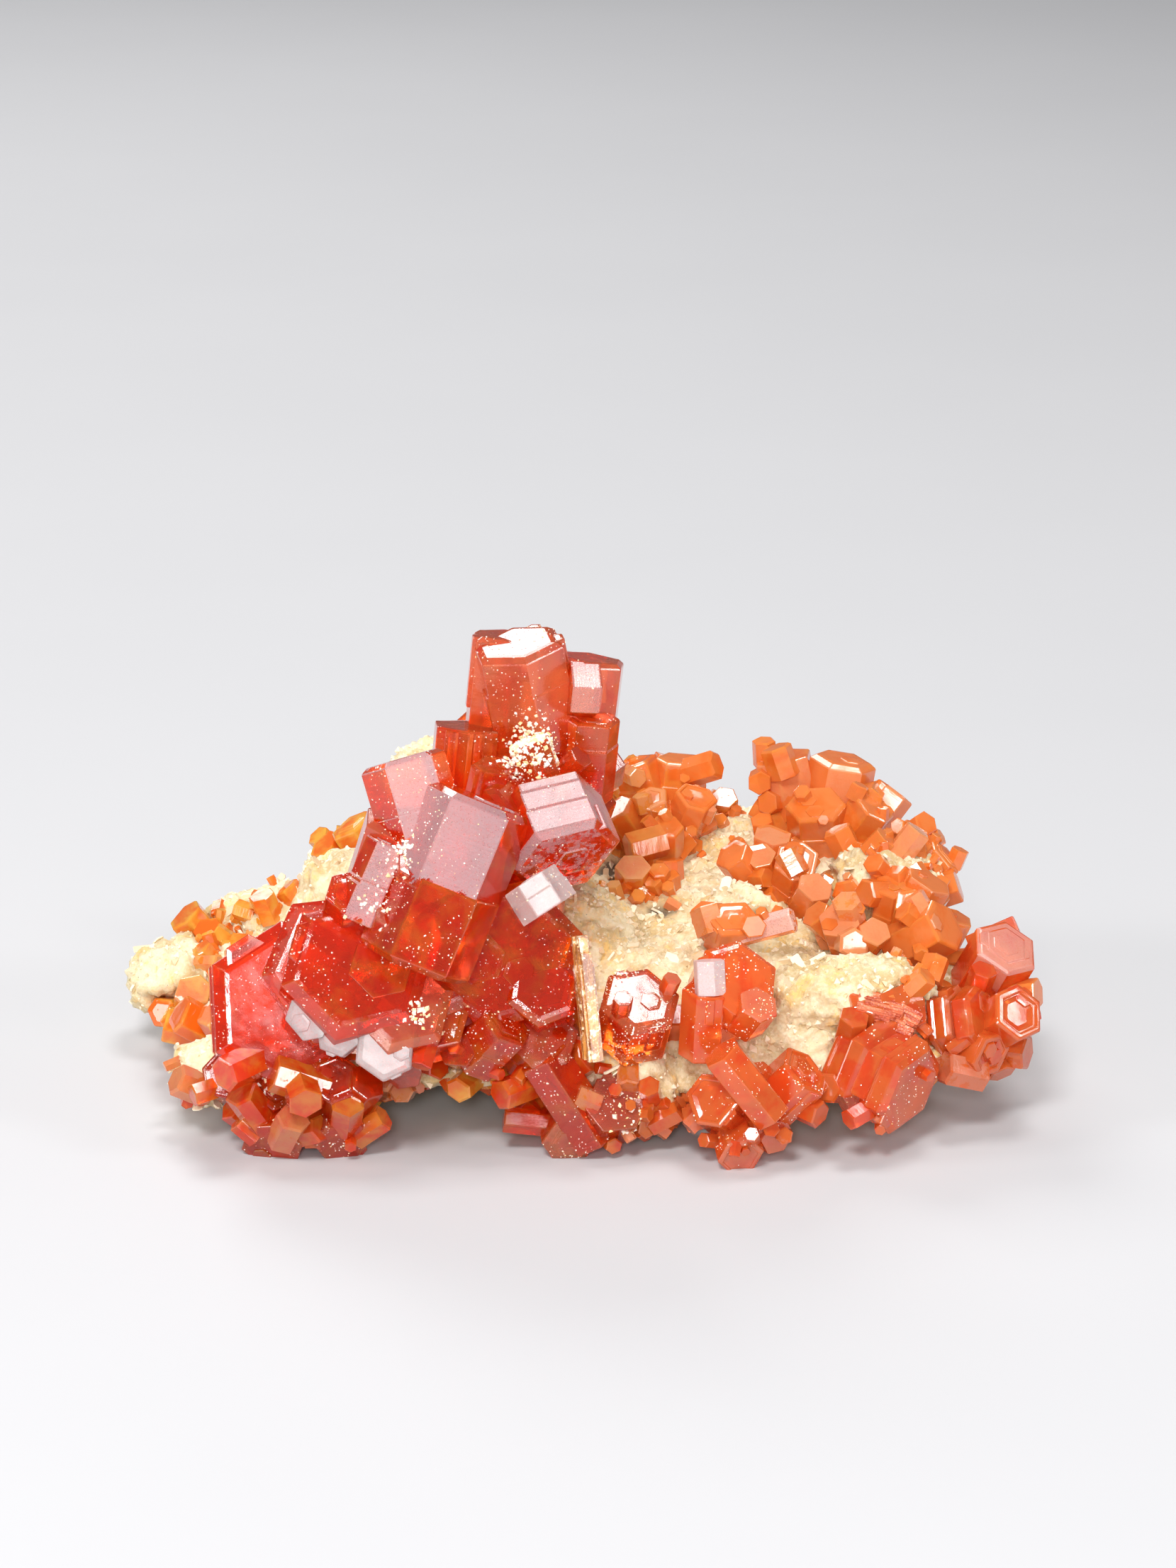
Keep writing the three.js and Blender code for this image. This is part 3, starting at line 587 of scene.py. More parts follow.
def growth_profile(radius, length, rng):
    """The steps of a crystal's skin from its root to its end, each an array of its height, the
    insets of its six sides and its sideways drift."""
    half = length / 2
    thick = radius >= LEDGED_RADIUS
    bevel = radius * (WIDE_BEVEL if radius > WIDE_RADIUS else rng.uniform(*BEVEL_SHARES))
    rise = bevel * BEVEL_SLOPE
    sides = np.zeros(6)
    drift = np.zeros(2)
    steps = []

    def step(height, inset):
        steps.append(np.concatenate(([height], inset, drift)))

    step(-half, sides + bevel * ROOT_BEVEL)
    step(-half + rise * ROOT_BEVEL, sides)
    if thick:
        for share in sorted(rng.uniform(*LEDGE_SPAN) for _ in range(rng.randint(0, 2))):
            step(-half + length * share, sides)
            sides = sides + [rng.choice(LEDGE_INSETS) for _ in range(6)]
            step(-half + length * share + LEDGE_RISE, sides)
    step(half - rise, sides)
    step(half, sides + bevel)
    top = half
    spread = sides + bevel
    if thick and radius < STEPPED_RADIUS:
        for _ in range(rng.choice(END_STEPS)):
            spread = spread + radius * rng.uniform(*END_INSETS)
            drift = drift + [rng.uniform(-END_DRIFT, END_DRIFT) * radius for _ in range(2)]
            lift = rng.choice(END_LIFTS)
            step(top, spread)
            spread = spread + abs(lift) * END_RUN
            top += lift
            step(top, spread)
    return steps, top


def softened(steps):
    """The same steps with each corner cut back by CHAMFER, and a further step RIM away from it where
    there is room. Each comes with how near it lies to an edge, from 0 to 1."""
    soft = []
    for i, here in enumerate(steps):
        for k in (i - 1, i + 1):
            if not 0 <= k < len(steps):
                continue
            other = steps[k]
            gap = max(TINY, np.hypot(other[0] - here[0], np.mean(other[1:7] - here[1:7])))
            cuts = [(here + (other - here) * min(CHAMFER_LIMIT, CHAMFER / gap), 1.0)]
            if gap > 3 * RIM:
                cuts.append((here + (other - here) * min(LONG_RIM_LIMIT, RIM / gap), 0.0))
            soft += reversed(cuts) if k < i else cuts
    return soft


def outline(distance, chamfer, rim):
    """Points round a six-sided outline whose sides lie at those distances from the middle. At each
    corner there are four: rim and chamfer away from it, on either side."""
    corners = []
    for k in range(6):
        before, after = distance[k - 1], distance[k]
        out = (before + after) / (2 * APOTHEM)
        across = after - before
        outward = np.array((math.cos(k * SIXTH), math.sin(k * SIXTH)))
        aside = np.array((-outward[1], outward[0]))
        corners.append(out * outward + across * aside)
    points = []
    for k in range(6):
        here = corners[k]
        for other, cuts in ((corners[k - 1], (rim, chamfer)), (corners[(k + 1) % 6], (chamfer, rim))):
            gap = max(TINY, np.linalg.norm(other - here))
            for cut in cuts:
                share = min(RIM_LIMIT if cut == rim else CHAMFER_LIMIT, cut / gap)
                points.append(here + (other - here) * share)
    return points


def tube_faces(rings, sides):
    """The faces of a closed tube, from its rings of points in order."""
    faces = [tuple(reversed(range(sides)))]
    for r in range(rings - 1):
        for k in range(sides):
            a, b = r * sides + k, r * sides + (k + 1) % sides
            faces.append((a, b, b + sides, a + sides))
    faces.append(tuple(range((rings - 1) * sides, rings * sides)))
    return faces


def crystal_body(row, rng, habit):
    """One closed crystal, as its points in its own axes, its faces, and how near each point is to
    an edge. habit is how uneven its six sides are."""
    radius, length = row[4], row[5]
    shares = np.array([rng.uniform(1 - habit, 1) for _ in range(6)])
    steps, top = growth_profile(radius, length, rng)
    soft = softened(steps)
    rim = min(RIM, radius * RIM_SHARE)
    chamfer = min(CHAMFER, radius * CHAMFER_SHARE)
    local, edge = [], []
    reach = radius * APOTHEM * shares
    for values, near in soft:
        height, insets, drift = values[0], values[1:7], values[7:9]
        inner = np.maximum(reach - insets, LEAST_SIDE * radius)
        for n, point in enumerate(outline(inner, chamfer, rim)):
            local.append((point[0] + drift[0], point[1] + drift[1], height))
            edge.append(1.0 if n % 4 in (1, 2) else near)
    # the end face has a dull band too
    last_values = soft[-1][0]
    inner = np.maximum(reach - last_values[1:7] - rim, LEAST_END * radius)
    for point in outline(inner, chamfer, rim):
        local.append((point[0] + last_values[7], point[1] + last_values[8], top))
        edge.append(0.0)
    return np.array(local), tube_faces(len(local) // RING, RING), np.array(edge)


SIMPLE_BEVELS = (0.05, 0.16)  # a small crystal's end facets, as shares of its radius
SIMPLE_LEAST = 0.88  # and the least distance from its axis to a side, as a share of the greatest


def simple_body(radius, length, rng):
    """A small closed crystal with a bevelled end, in its own axes."""
    bevel = radius * rng.uniform(*SIMPLE_BEVELS)
    shares = [rng.uniform(SIMPLE_LEAST, 1) for _ in range(6)]
    local, edge = [], []
    half = length / 2
    for height, inset, near in ((-half, 0, 0.5), (half - bevel * BEVEL_SLOPE, 0, 1), (half, bevel, 1)):
        for point in outline([radius * APOTHEM * share - inset for share in shares], 0, 0)[::4]:
            local.append((point[0], point[1], height))
            edge.append(near)
    return np.array(local), tube_faces(3, 6), np.array(edge)


def moved(points, matrix):
    """The points taken through a 4 by 4 matrix."""
    m = np.array(matrix)
    return points @ m[:3, :3].T + m[:3, 3]


def linked(name, mesh):
    """A new object in the scene with that mesh."""
    thing = bpy.data.objects.new(name, mesh)
    bpy.context.scene.collection.objects.link(thing)
    return thing


def new_object(name, points_mm, faces):
    mesh = bpy.data.meshes.new(name)
    mesh.from_pydata((points_mm * MM).tolist(), [], faces)
    mesh.update()
    return linked(name, mesh)


def settled_mesh(thing):
    """A new mesh that is what the object's modifiers make of its own."""
    settled = thing.evaluated_get(bpy.context.evaluated_depsgraph_get())
    return bpy.data.meshes.new_from_object(settled)


def read(items, key, width=3, kind=float):
    """A property of all those parts of a mesh, as an array with that many columns."""
    values = np.zeros(len(items) * width, kind)
    items.foreach_get(key, values)
    return values.reshape(-1, width)


def store(mesh, name, values, domain):
    """Stores an array as an attribute of the mesh, which holds vectors if the array has columns."""
    values = np.asarray(values, np.float32)
    kind, key = ("FLOAT_VECTOR", "vector") if values.ndim == 2 else ("FLOAT", "value")
    mesh.attributes.new(name, kind, domain).data.foreach_set(key, values.ravel())


def pattern_step(rng):
    """A random step that moves a crystal's patterns, so that no two crystals look alike."""
    return np.array([rng.uniform(0, PATTERN_SPAN) for _ in range(3)])


def tag_crystal(thing, local, edge, rng, clear, film_and_sheen):
    """Stores what the crystal material reads: edge nearness, the point in the crystal's own axes
    with its pattern step, a random shade, the thickness of the film and painted sheen, and how far
    each point lies beyond the share of its length that is clear of them. Unless it is white all over,
    a painted reflection, the film and sheen lie only on faces turned to the front lamps."""
    mesh = thing.data
    store(mesh, "rim", edge, "POINT")
    corner = read(mesh.loops, "vertex_index", 1, np.int32)[:, 0]
    store(mesh, "grown", (local + pattern_step(rng))[corner], "CORNER")
    low, high = local[:, 2].min(), local[:, 2].max()
    if clear is None:
        clear = rng.choice((0.6, 0.9, *[ALL_CLEAR] * 5))
    beyond = ((local[:, 2] - low) / (high - low) - clear)[corner]
    for face in mesh.polygons:
        if film_and_sheen < 1 and face.normal.dot(FILM_SHEEN_SIDE) < FILM_SHEEN_LIMIT:
            beyond[face.loop_start : face.loop_start + face.loop_total] -= ALL_CLEAR
    store(mesh, "film_sheen_reach", beyond, "CORNER")
    store(mesh, "shade", np.full(len(mesh.polygons), rng.random()), "FACE")
    store(mesh, "film_and_sheen", np.full(len(mesh.polygons), film_and_sheen), "FACE")


TWIN_RADII = (0.2, 0.42)  # of a crystal grown beside a thick one, as shares of its radius
TWIN_LENGTHS = (0.35, 0.8)  # and as shares of its length
TWIN_PROUD = 0.1  # how far it stands proud of the side
TWIN_SHORT = 0.12  # and how far its end lies below the thick one's end
TWIN_ON_END = 0.4  # the chance that it stands on the end instead
TWIN_LIFTS = (0.05, 0.12)  # and how far it then stands proud of it


def parallel_growths(row, rng):
    """Thin crystals grown side by side with a thick one, standing just proud of its faces."""
    x, y, z, axis, radius, length, spin, clear, film_and_sheen = whole_row(row)
    if radius < LEDGED_RADIUS:
        return []
    place = placement(x, y, z, axis, spin)
    rows = []
    for _ in range(rng.randint(1, 3)):
        share = rng.uniform(*TWIN_RADII)
        turn = rng.randrange(6) * SIXTH + SIXTH / 2 + rng.uniform(-0.25, 0.25)
        out = radius * (APOTHEM - share * APOTHEM) + TWIN_PROUD
        reach = length * rng.uniform(*TWIN_LENGTHS)
        spare = (length - reach) / 2
        middle = Vector((out * math.cos(turn), out * math.sin(turn), spare - TWIN_SHORT))
        if rng.random() < TWIN_ON_END:
            middle = Vector((rng.uniform(-0.4, 0.4) * radius, rng.uniform(-0.4, 0.4) * radius, 0))
            middle.z = spare + rng.uniform(*TWIN_LIFTS)
        spot = place @ middle - SHIFT
        rows.append((*spot, axis, radius * share, reach, spin, clear, film_and_sheen))
    return rows


def crystal_group(name, rows, seed, habit):
    """The crystals in those rows, joined into one solid. habit is how uneven their sides are."""
    rng = random.Random(seed)
    everyone = list(rows)
    for row in rows:
        everyone += parallel_growths(row, rng)
    parts = []
    for n, row in enumerate(everyone):
        local, faces, edge = crystal_body(row, rng, habit)
        place = placement(*row[:4], row[6])
        part = new_object(f"{name}_{n}", moved(local, place), faces)
        tag_crystal(part, local, edge, rng, *whole_row(row)[7:])
        parts.append(part)
    return united(name, parts)


def make_underfoot():
    """A block under the ground plane, which crystals that would reach below it are cut with."""
    side, deep = 100.0, 20.0
    low, high = np.array((-side, -side, -deep)), np.array((side, side, 0.0))
    corners = [
        [(low, high)[x][0], (low, high)[y][1], (low, high)[z][2]]
        for x in (0, 1)
        for y in (0, 1)
        for z in (0, 1)
    ]
    sides = [(0, 1, 3, 2), (4, 6, 7, 5), (0, 4, 5, 1), (2, 3, 7, 6), (0, 2, 6, 4), (1, 5, 7, 3)]
    block = new_object("underfoot", np.array(corners), sides)
    bpy.context.scene.collection.objects.unlink(block)
    return block


underfoot = make_underfoot()


def boolean(base, operation):
    """A new modifier that joins solids to the base or cuts them from it."""
    modifier = base.modifiers.new(operation.lower(), "BOOLEAN")
    modifier.operation = operation
    modifier.solver = "MANIFOLD"
    return modifier


def united(name, parts):
    """One object whose mesh is the union of those closed parts, cut off at the ground plane."""
    base = parts[0]
    others = bpy.data.collections.new(f"{name}_parts")
    bpy.context.scene.collection.children.link(others)
    for part in parts[1:]:
        bpy.context.scene.collection.objects.unlink(part)
        others.objects.link(part)
    if len(parts) > 1:
        joiner = boolean(base, "UNION")
        joiner.operand_type = "COLLECTION"
        joiner.collection = others
    lowest = min(vertex.co.z for part in parts for vertex in part.data.vertices)
    if lowest < 0:
        boolean(base, "DIFFERENCE").object = underfoot
    mesh = settled_mesh(base)
    mesh.name = name
    whole = linked(name, mesh)
    for part in parts:
        bpy.data.meshes.remove(part.data)
    bpy.data.collections.remove(others)
    return whole


# ---- Baryte matrix ----
VOXEL = 0.22  # size of the smallest step in the rock's surface
FLAT_HEIGHT = 0.4  # below this the rock's underside stays flat, to stand on
POCKETS = [  # hollows in the rock, darkened by painted shade: a middle and a reach
    (2.2, 10.6, 9.6, 1.9),
    (15, -1.6, 9.2, 1.2),
    (17.4, 9.4, 11.8, 1.5),
    (10.6, 2, 10.4, 1.1),
    (-18.8, -6.6, 2.4, 1.1),
    (4.6, 5.4, 9.8, 1.3),
]


def rock_relief(p):
    """How far the rock stands out at a point in mm, and how hollow it is there."""
    broad = noise.fractal(p * 0.3, 1.0, 2.0, 3)
    billow = 0.35 - abs(noise.noise(p * 0.85 + Vector((7, 3, 1))))
    ridge = 0.3 - abs(noise.noise(p * 1.9 + Vector((2, 9, 4))))
    grain = noise.fractal(p * 3.1, 0.7, 2.1, 3)
    hole = max(0.0, 0.3 - noise.voronoi(p * 0.8)[0][0]) / 0.3
    out = 0.16 + 0.3 * broad + 0.75 * billow + 0.35 * ridge + 0.14 * grain - 0.5 * hole
    hollow = min(1.0, max(0.0, 0.35 * hole - 0.9 * billow - 0.35 * ridge))
    for x, y, z, reach in POCKETS:
        away = (p - Vector((x, y, z))).length / reach
        deep = math.exp(-away * away)
        out -= 1.1 * deep
        hollow = max(hollow, min(1.0, 1.5 * deep))
    return out, hollow


def make_rock():
    copy = linked("rock_shape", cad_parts["matrix"].data.copy())
    remesh = copy.modifiers.new("remesh", "REMESH")
    remesh.mode = "VOXEL"
    remesh.voxel_size = VOXEL * MM
    mesh = settled_mesh(copy)
    bpy.data.meshes.remove(copy.data)
    points = read(mesh.vertices, "co") / MM
    normals = read(mesh.vertex_normals, "vector")
    out = np.zeros(len(points))
    hollow = np.zeros(len(points))
    for i, place in enumerate(points - np.array(SHIFT)):
        out[i], hollow[i] = rock_relief(Vector(place))
    standing = (points[:, 2] < FLAT_HEIGHT) & (normals[:, 2] < -0.3)
    out[standing] = 0
    points += normals * out[:, None]
    points[:, 2] = np.maximum(points[:, 2], 0)
    mesh.vertices.foreach_set("co", (points * MM).ravel())
    store(mesh, "hollow", hollow, "POINT")
    mesh.shade_smooth()
    mesh.name = "baryte_matrix"
    return linked(mesh.name, mesh)


def rock_material():
    s = Shader("baryte")
    place = s.object_mm()
    hollow = s.attribute("hollow")
    broad = s.noise(place, 0.35, 4, 0.6)
    fine = s.noise(place, 3.5, 4, 0.65)
    colour = s.blend(s.band(broad, 0.38, 0.62), (0.6, 0.43, 0.2, 1), (0.86, 0.73, 0.47, 1))
    colour = s.blend(s.math("MULTIPLY", s.band(fine, 0.45, 0.7), 0.6), colour, (0.93, 0.84, 0.62, 1))
    stain_place = s.vector_math("ADD", place, (31, 7, 12))
    stain = s.band(s.noise(stain_place, 0.42, 5, 0.68, 0.6), 0.5, 0.63)
    stain = s.math("MULTIPLY", stain, s.band(fine, 0.35, 0.6))
    colour = s.blend(s.math("MULTIPLY", stain, 0.7), colour, (0.85, 0.5, 0.09, 1))
    # browner, then dark, in the hollows: painted shade
    tan_hollow_shade = s.math("MULTIPLY", s.band(hollow, 0.15, 0.55), 0.7)
    colour = s.blend(tan_hollow_shade, colour, (0.62, 0.42, 0.2, 1))
    dark = s.math("MULTIPLY", s.band(hollow, 0.55, 0.95), 0.9)
    colour = s.blend(dark, colour, (0.13, 0.1, 0.06, 1))
    speck = s.math("LESS_THAN", s.cells(place, 2.3), s.math("MULTIPLY", s.noise(place, 0.8), 0.15))
    colour = s.blend(s.math("MULTIPLY", speck, 0.75), colour, (0.3, 0.24, 0.16, 1))
    grains = s.cells(place, 5.5)
    normal = s.bump(fine, 0.00012, 0.7)
    normal = s.bump(grains, 0.00006, 0.5, normal)
    rough = s.math("MULTIPLY_ADD", s.noise(place, 6), -0.5, 1.0)
    s.set(Base_Color=colour, Roughness=rough, Normal=normal, Subsurface_Weight=0.25)
    s.set(Subsurface_Radius=(0.9, 0.7, 0.45), Subsurface_Scale=0.0015, IOR=1.64)
    return s.material


# ---- Small growths on the rock and the groups ----
SLACK = 0.1  # how far they may stand past the solid model's box
GARDENS = [  # where small crystals crowd: x, y and reach
    (14.5, 13.5, 7),
    (18.5, 5.5, 4),
    (12, 6.5, 3.4),
    (4.6, 14.5, 4.5),
    (-20, 8, 4.5),
    (-13, 14, 4.5),
    (-3, 19, 6),
    (6, 20, 6),
    (21, -3, 4),
    (19, -7, 2.5),
    (-3, -7.4, 4),
    (-16, -5.5, 5),
    (3.5, 7, 3.2),
    (15.4, 0.4, 2.4),
]


def scatter(thing, count, seed, chance):
    """That many random places on a mesh in mm, with their normals. chance gives the weight of each
    of its triangles from its middle in the specimen's own frame and its normal."""
    mesh = thing.data
    mesh.calc_loop_triangles()
    corners = read(mesh.loop_triangles, "vertices", 3, np.int32)
    normals = read(mesh.loop_triangles, "normal")
    triangles = read(mesh.vertices, "co")[corners] / MM
    across = np.cross(triangles[:, 1] - triangles[:, 0], triangles[:, 2] - triangles[:, 0])
    own = triangles.mean(axis=1) - np.array(SHIFT)
    weight = np.linalg.norm(across, axis=1) * np.maximum(chance(own, normals), 0)
    dice = np.random.RandomState(seed)
    picks = dice.choice(len(triangles), count, p=weight / weight.sum())
    shares = dice.dirichlet((1, 1, 1), count)
    return (triangles[picks] * shares[:, :, None]).sum(axis=1), normals[picks]


def crowding(middles):
    """How near each point is to the middle of a garden of crystals, from 0 to 1."""
    near = np.zeros(len(middles))
    for x, y, reach in GARDENS:
        away = ((middles[:, 0] - x) ** 2 + (middles[:, 1] - y) ** 2) / reach**2
        near = np.maximum(near, np.exp(-away))
    return near


def clumps(middles, scale):
    """Smooth noise from 0 to 1 at each point."""
    return np.array([0.5 + 0.5 * noise.noise(Vector(p) * scale) for p in middles])


def joined_bodies(name, bodies):
    """One object from many closed bodies, each its points in mm, its faces, its points in its own
    axes, its edge nearness and its shade."""
    points, faces, own, edge, shade = [], [], [], [], []
    start = 0
    for place, body_faces, local, near, value in bodies:
        points.append(place)
        own.append(local)
        edge.append(near)
        faces += [tuple(start + i for i in face) for face in body_faces]
        shade += [value] * len(body_faces)
        start += len(place)
    thing = new_object(name, np.concatenate(points), faces)
    mesh = thing.data
    store(mesh, "rim", np.concatenate(edge), "POINT")
    store(mesh, "grown", np.concatenate(own), "POINT")
    store(mesh, "shade", shade, "FACE")
    # the film and painted sheen that the crystal material reads
    store(mesh, "film_sheen_reach", np.array(shade, np.float32) - SMALL_CLEAR, "FACE")
    store(mesh, "film_and_sheen", np.full(len(shade), USUAL_FILM_SHEEN), "FACE")
    return thing


def fits(points):
    """Whether all these points in mm lie above the ground and in the solid model's box."""
    low = np.array(cad_box[0]) / MM - SLACK
    high = np.array(cad_box[1]) / MM + SLACK
    return points[:, 2].min() > 0 and bool((points >= low).all() and (points <= high).all())


def in_gardens(middles, normals):
    """The chance of a place on the rock, from how near it is to a garden of crystals."""
    near = crowding(middles)
    noisy = clumps(middles, 0.55)
    return np.where(near + 0.9 * noisy > 1.0, near, 0.0) * (normals[:, 2] > -0.75)


def low_in_front(right_end):
    """The chance of a place low on the front of the specimen, up to right_end in x."""

    def chance(middles, normals):
        low = np.clip((FOOT_TOP - middles[:, 2]) / FOOT_TOP, 0, 1)
        front = (middles[:, 1] < -4) & (normals[:, 1] < 0.3) & (middles[:, 0] < right_end)
        return np.where(clumps(middles, 0.5) > 0.45, low, 0) * front

    return chance


def turned_up(middles, normals):
    """The chance of a place that looks up or sideways."""
    return np.where(clumps(middles, 0.6) > 0.42, 1.0, 0) * (normals[:, 2] > -0.4)


# How each druse grows: its crystals' least radius, how much is added at most and how seldom, their
# length for a radius of 1, how far they tilt at random and lean, and how much of them stands out.
ROCK_DRUSE = (0.22, 0.75, 2.6, (1.5, 3), 0.75, (0, 0, 0.3), (0.05, 0.3))
FOOT_DRUSE = (0.34, 0.8, 1.6, (1.8, 3), 0.6, (0, -0.2, 0.3), (0, 0.25))
RIM_DRUSE = (0.36, 0.7, 1.6, (1.32, 2.2), 0.6, (0, -0.2, 0.3), (0, 0.25))
ROCK_COUNT = 900
FOOT_TOP = 7.5  # height up to which small crystals crowd the front groups
FOOT_COUNTS = {"tower": 64, "right_foot": 15, "right_rim": 12, "barrel_group": 6}
FOOT_ON_ROCK = 120
FOOT_END = 6  # on the rock they reach to this x, and on the groups all the way
RIM_COUNTS = {  # small crystals on the groups at the back and on the slab's top
    "back_left_group": 20,
    "back_right_group": 16,
    "side_rim_group": 10,
    "mid_back_group": 10,
    "mid_right_group": 9,
    "mid_front_pair": 5,
    "level_prism_pair": 4,
    "far_edge_left": 8,
    "far_edge_middle": 8,
    "far_edge_right": 8,
}


def make_druse(name, growth, hosts, seed, host_seed):
    """Small crystals on the hosts, which are each a mesh, how many crystals it gets and the chance
    of a place."""
    least, added, rarity, lengths, tilt, lean, lift = growth
    rng = random.Random(seed)
    bodies = []
    for number, (host, count, chance) in enumerate(hosts):
        middles, normals = scatter(host, count, host_seed + number, chance)
        for middle, normal in zip(middles, normals):
            radius = least + added * rng.random() ** rarity
            length = radius * rng.uniform(*lengths)
            axis = Vector(normal) + Vector([rng.uniform(-tilt, tilt) for _ in range(3)]) + Vector(lean)
            local, faces, edge = simple_body(radius, length, rng)
            spot = Vector(middle) - SHIFT + axis.normalized() * length * rng.uniform(*lift)
            points = moved(local, placement(*spot, axis, rng.uniform(0, 60)))
            if fits(points):
                own = local + pattern_step(rng)
                bodies.append((points, faces, own, edge, rng.random()))
    return joined_bodies(name, bodies)


BLADE_COUNT = 420
BLADE_WIDTHS = (0.25, 0.8)
BLADE_LENGTHS = (0.5, 1.2)
BLADE_THICKNESSES = (0.06, 0.16)
BLADE_SLANTS = (0.15, 0.45)  # cut off one corner of a blade's end, as shares of its width
SMALL_SLANT = 0.6  # cut off the other corner, as a share of the first


def blade_body(width, thickness, length, rng):
    """A thin blade with bevelled corners at its end, centred on its own axes."""
    slant = rng.uniform(*BLADE_SLANTS) * width
    half, flat = width / 2, thickness / 2
    outline_points = [
        (-half, -length / 2),
        (half, -length / 2),
        (half, length / 2 - slant),
        (half - slant, length / 2),
        (-half + slant * SMALL_SLANT, length / 2),
        (-half, length / 2 - slant * SMALL_SLANT),
    ]
    local = [(x, -flat, z) for x, z in outline_points] + [(x, flat, z) for x, z in outline_points]
    faces = [tuple(range(6)), tuple(reversed(range(6, 12)))]
    for k in range(6):
        after = (k + 1) % 6
        faces.append((after, k, k + 6, after + 6))
    return np.array(local), faces, np.full(12, 0.5)


def make_blades(rock):
    """Crests of thin baryte blades over the rock."""

    def chance(middles, normals):
        noisy = clumps(middles, 0.5)
        return np.where(noisy > 0.47, noisy, 0) * (normals[:, 2] > -0.5)

    rng = random.Random(5)
    bodies = []
    middles, normals = scatter(rock, BLADE_COUNT, 23, chance)
    for middle, normal in zip(middles, normals):
        width = rng.uniform(*BLADE_WIDTHS)
        length = rng.uniform(*BLADE_LENGTHS)
        thickness = rng.uniform(*BLADE_THICKNESSES)
        axis = Vector(normal) * 0.3 + Vector([rng.uniform(-1, 1) for _ in range(3)])
        local, faces, edge = blade_body(width, thickness, length, rng)
        spot = Vector(middle) - SHIFT + axis.normalized() * length * 0.12
        points = moved(local, placement(*spot, axis, rng.uniform(0, 360)))
        if fits(points):
            bodies.append((points, faces, local, edge, rng.random()))
    return joined_bodies("baryte_blades", bodies)


CRUMB_SHAPE = [  # corners of an eight-faced crumb before it is roughened
    (1, 0, 0),
    (0, 1, 0),
    (-1, 0, 0),
    (0, -1, 0),
    (0, 0, 1),
    (0, 0, -1),
]
CRUMB_FACES = [(0, 1, 4), (1, 2, 4), (2, 3, 4), (3, 0, 4), (1, 0, 5), (2, 1, 5), (3, 2, 5), (0, 3, 5)]


def crumb_body(middle, sizes, rng):
    """A tiny angular crumb. sizes are its least radius and how much is added to that at most."""
    size = sizes[0] + sizes[1] * rng.random() ** 2
    local = np.array(CRUMB_SHAPE, float) * size
    local *= np.array([[rng.uniform(0.6, 1.3) for _ in range(3)] for _ in range(6)])
    turn = Matrix.Rotation(rng.uniform(0, 6.28), 4, Vector([rng.uniform(-1, 1) for _ in range(3)]))
    points = moved(local, turn) + np.array(middle)
    return points, CRUMB_FACES, local, np.full(6, 0.5), rng.random()


SUGAR_COUNT = 5200
SUGAR_SIZES = (0.09, 0.2)
CRUMB_SIZES = (0.05, 0.16)
DUST_SIZES = (0.02, 0.05)
CRUMB_TRIES = 12  # places tried for each crumb asked for
CRUMB_PATCHES = [  # where baryte crumbs lie on the crystals: a middle, a reach and how many
    ((-2.8, -3.4, 21.4), 1.1, 700),
    ((-12.4, -10.6, 8.3), 0.9, 40),
    ((-8.9, -11.6, 9), 0.8, 40),
    ((-10.8, -9.6, 14.6), 1, 40),
    ((-9.4, -9.6, 17), 0.9, 50),
    ((-17.6, -8.6, 4), 1.4, 50),
    ((2.8, -9.6, 3), 1.2, 60),
]


def make_sugar(rock):
    """Grains of baryte that make the rock's surface look sugary."""

    def chance(middles, normals):
        return np.where(clumps(middles, 0.9) > 0.42, 1.0, 0.1) * (normals[:, 2] > -0.6)

    rng = random.Random(64)
    bodies = []
    middles, _ = scatter(rock, SUGAR_COUNT, 31, chance)
    for middle in middles:
        body = crumb_body(middle, SUGAR_SIZES, rng)
        if fits(body[0]):
            bodies.append(body)
    return joined_bodies("baryte_sugar", bodies)


def nearness(points, spot, reach):
    """How near points are to a spot, from 1 there down to 0, with that reach."""
    return np.exp(-((np.linalg.norm(points - np.array(spot), axis=1) / reach) ** 2))


def close_to(spot, reach):
    """The chance of a place on a crystal, which falls away from a spot over twice the reach."""
    return lambda middles, _: nearness(middles, spot, 2 * reach)


def make_crumbs(host):
    """Cream crumbs caught on the crystals."""
    rng = random.Random(77)
    bodies = []
    for number, (spot, reach, count) in enumerate(CRUMB_PATCHES):
        middles, _ = scatter(host, count * CRUMB_TRIES, number, close_to(spot, reach))
        shares = nearness(middles - np.array(SHIFT), spot, reach)
        for middle, share in zip(middles, shares):
            if rng.random() < share:
                bodies.append(crumb_body(middle, CRUMB_SIZES, rng))
    return joined_bodies("baryte_crumbs", bodies)


DUST_SEED = 90
DUST = {  # how many specks each group gets
    "tower": 3600,
    "dusty_crystal": 420,
    "centre_group": 260,
    "right_foot": 260,
    "barrel_group": 200,
}


def in_drifts(middles, normals):
    """The chance of a speck of dust, which lies in drifts on sides that look forward or up."""
    drift = np.clip((clumps(middles, 0.45) - 0.42) * 5, 0.05, 1)
    return drift * (normals @ np.array(FILM_SHEEN_SIDE) > 0.35)


def make_dust(groups):
    """Tiny white specks on the crystals."""
    rng = random.Random(12)
    bodies = []
    for number, (node, count) in enumerate(DUST.items()):
        middles, _ = scatter(groups[node], count, DUST_SEED + number, in_drifts)
        for middle in middles:
            body = crumb_body(middle, DUST_SIZES, rng)
            if body[0][:, 2].min() > 0:
                bodies.append(body)
    return joined_bodies("baryte_dust", bodies)


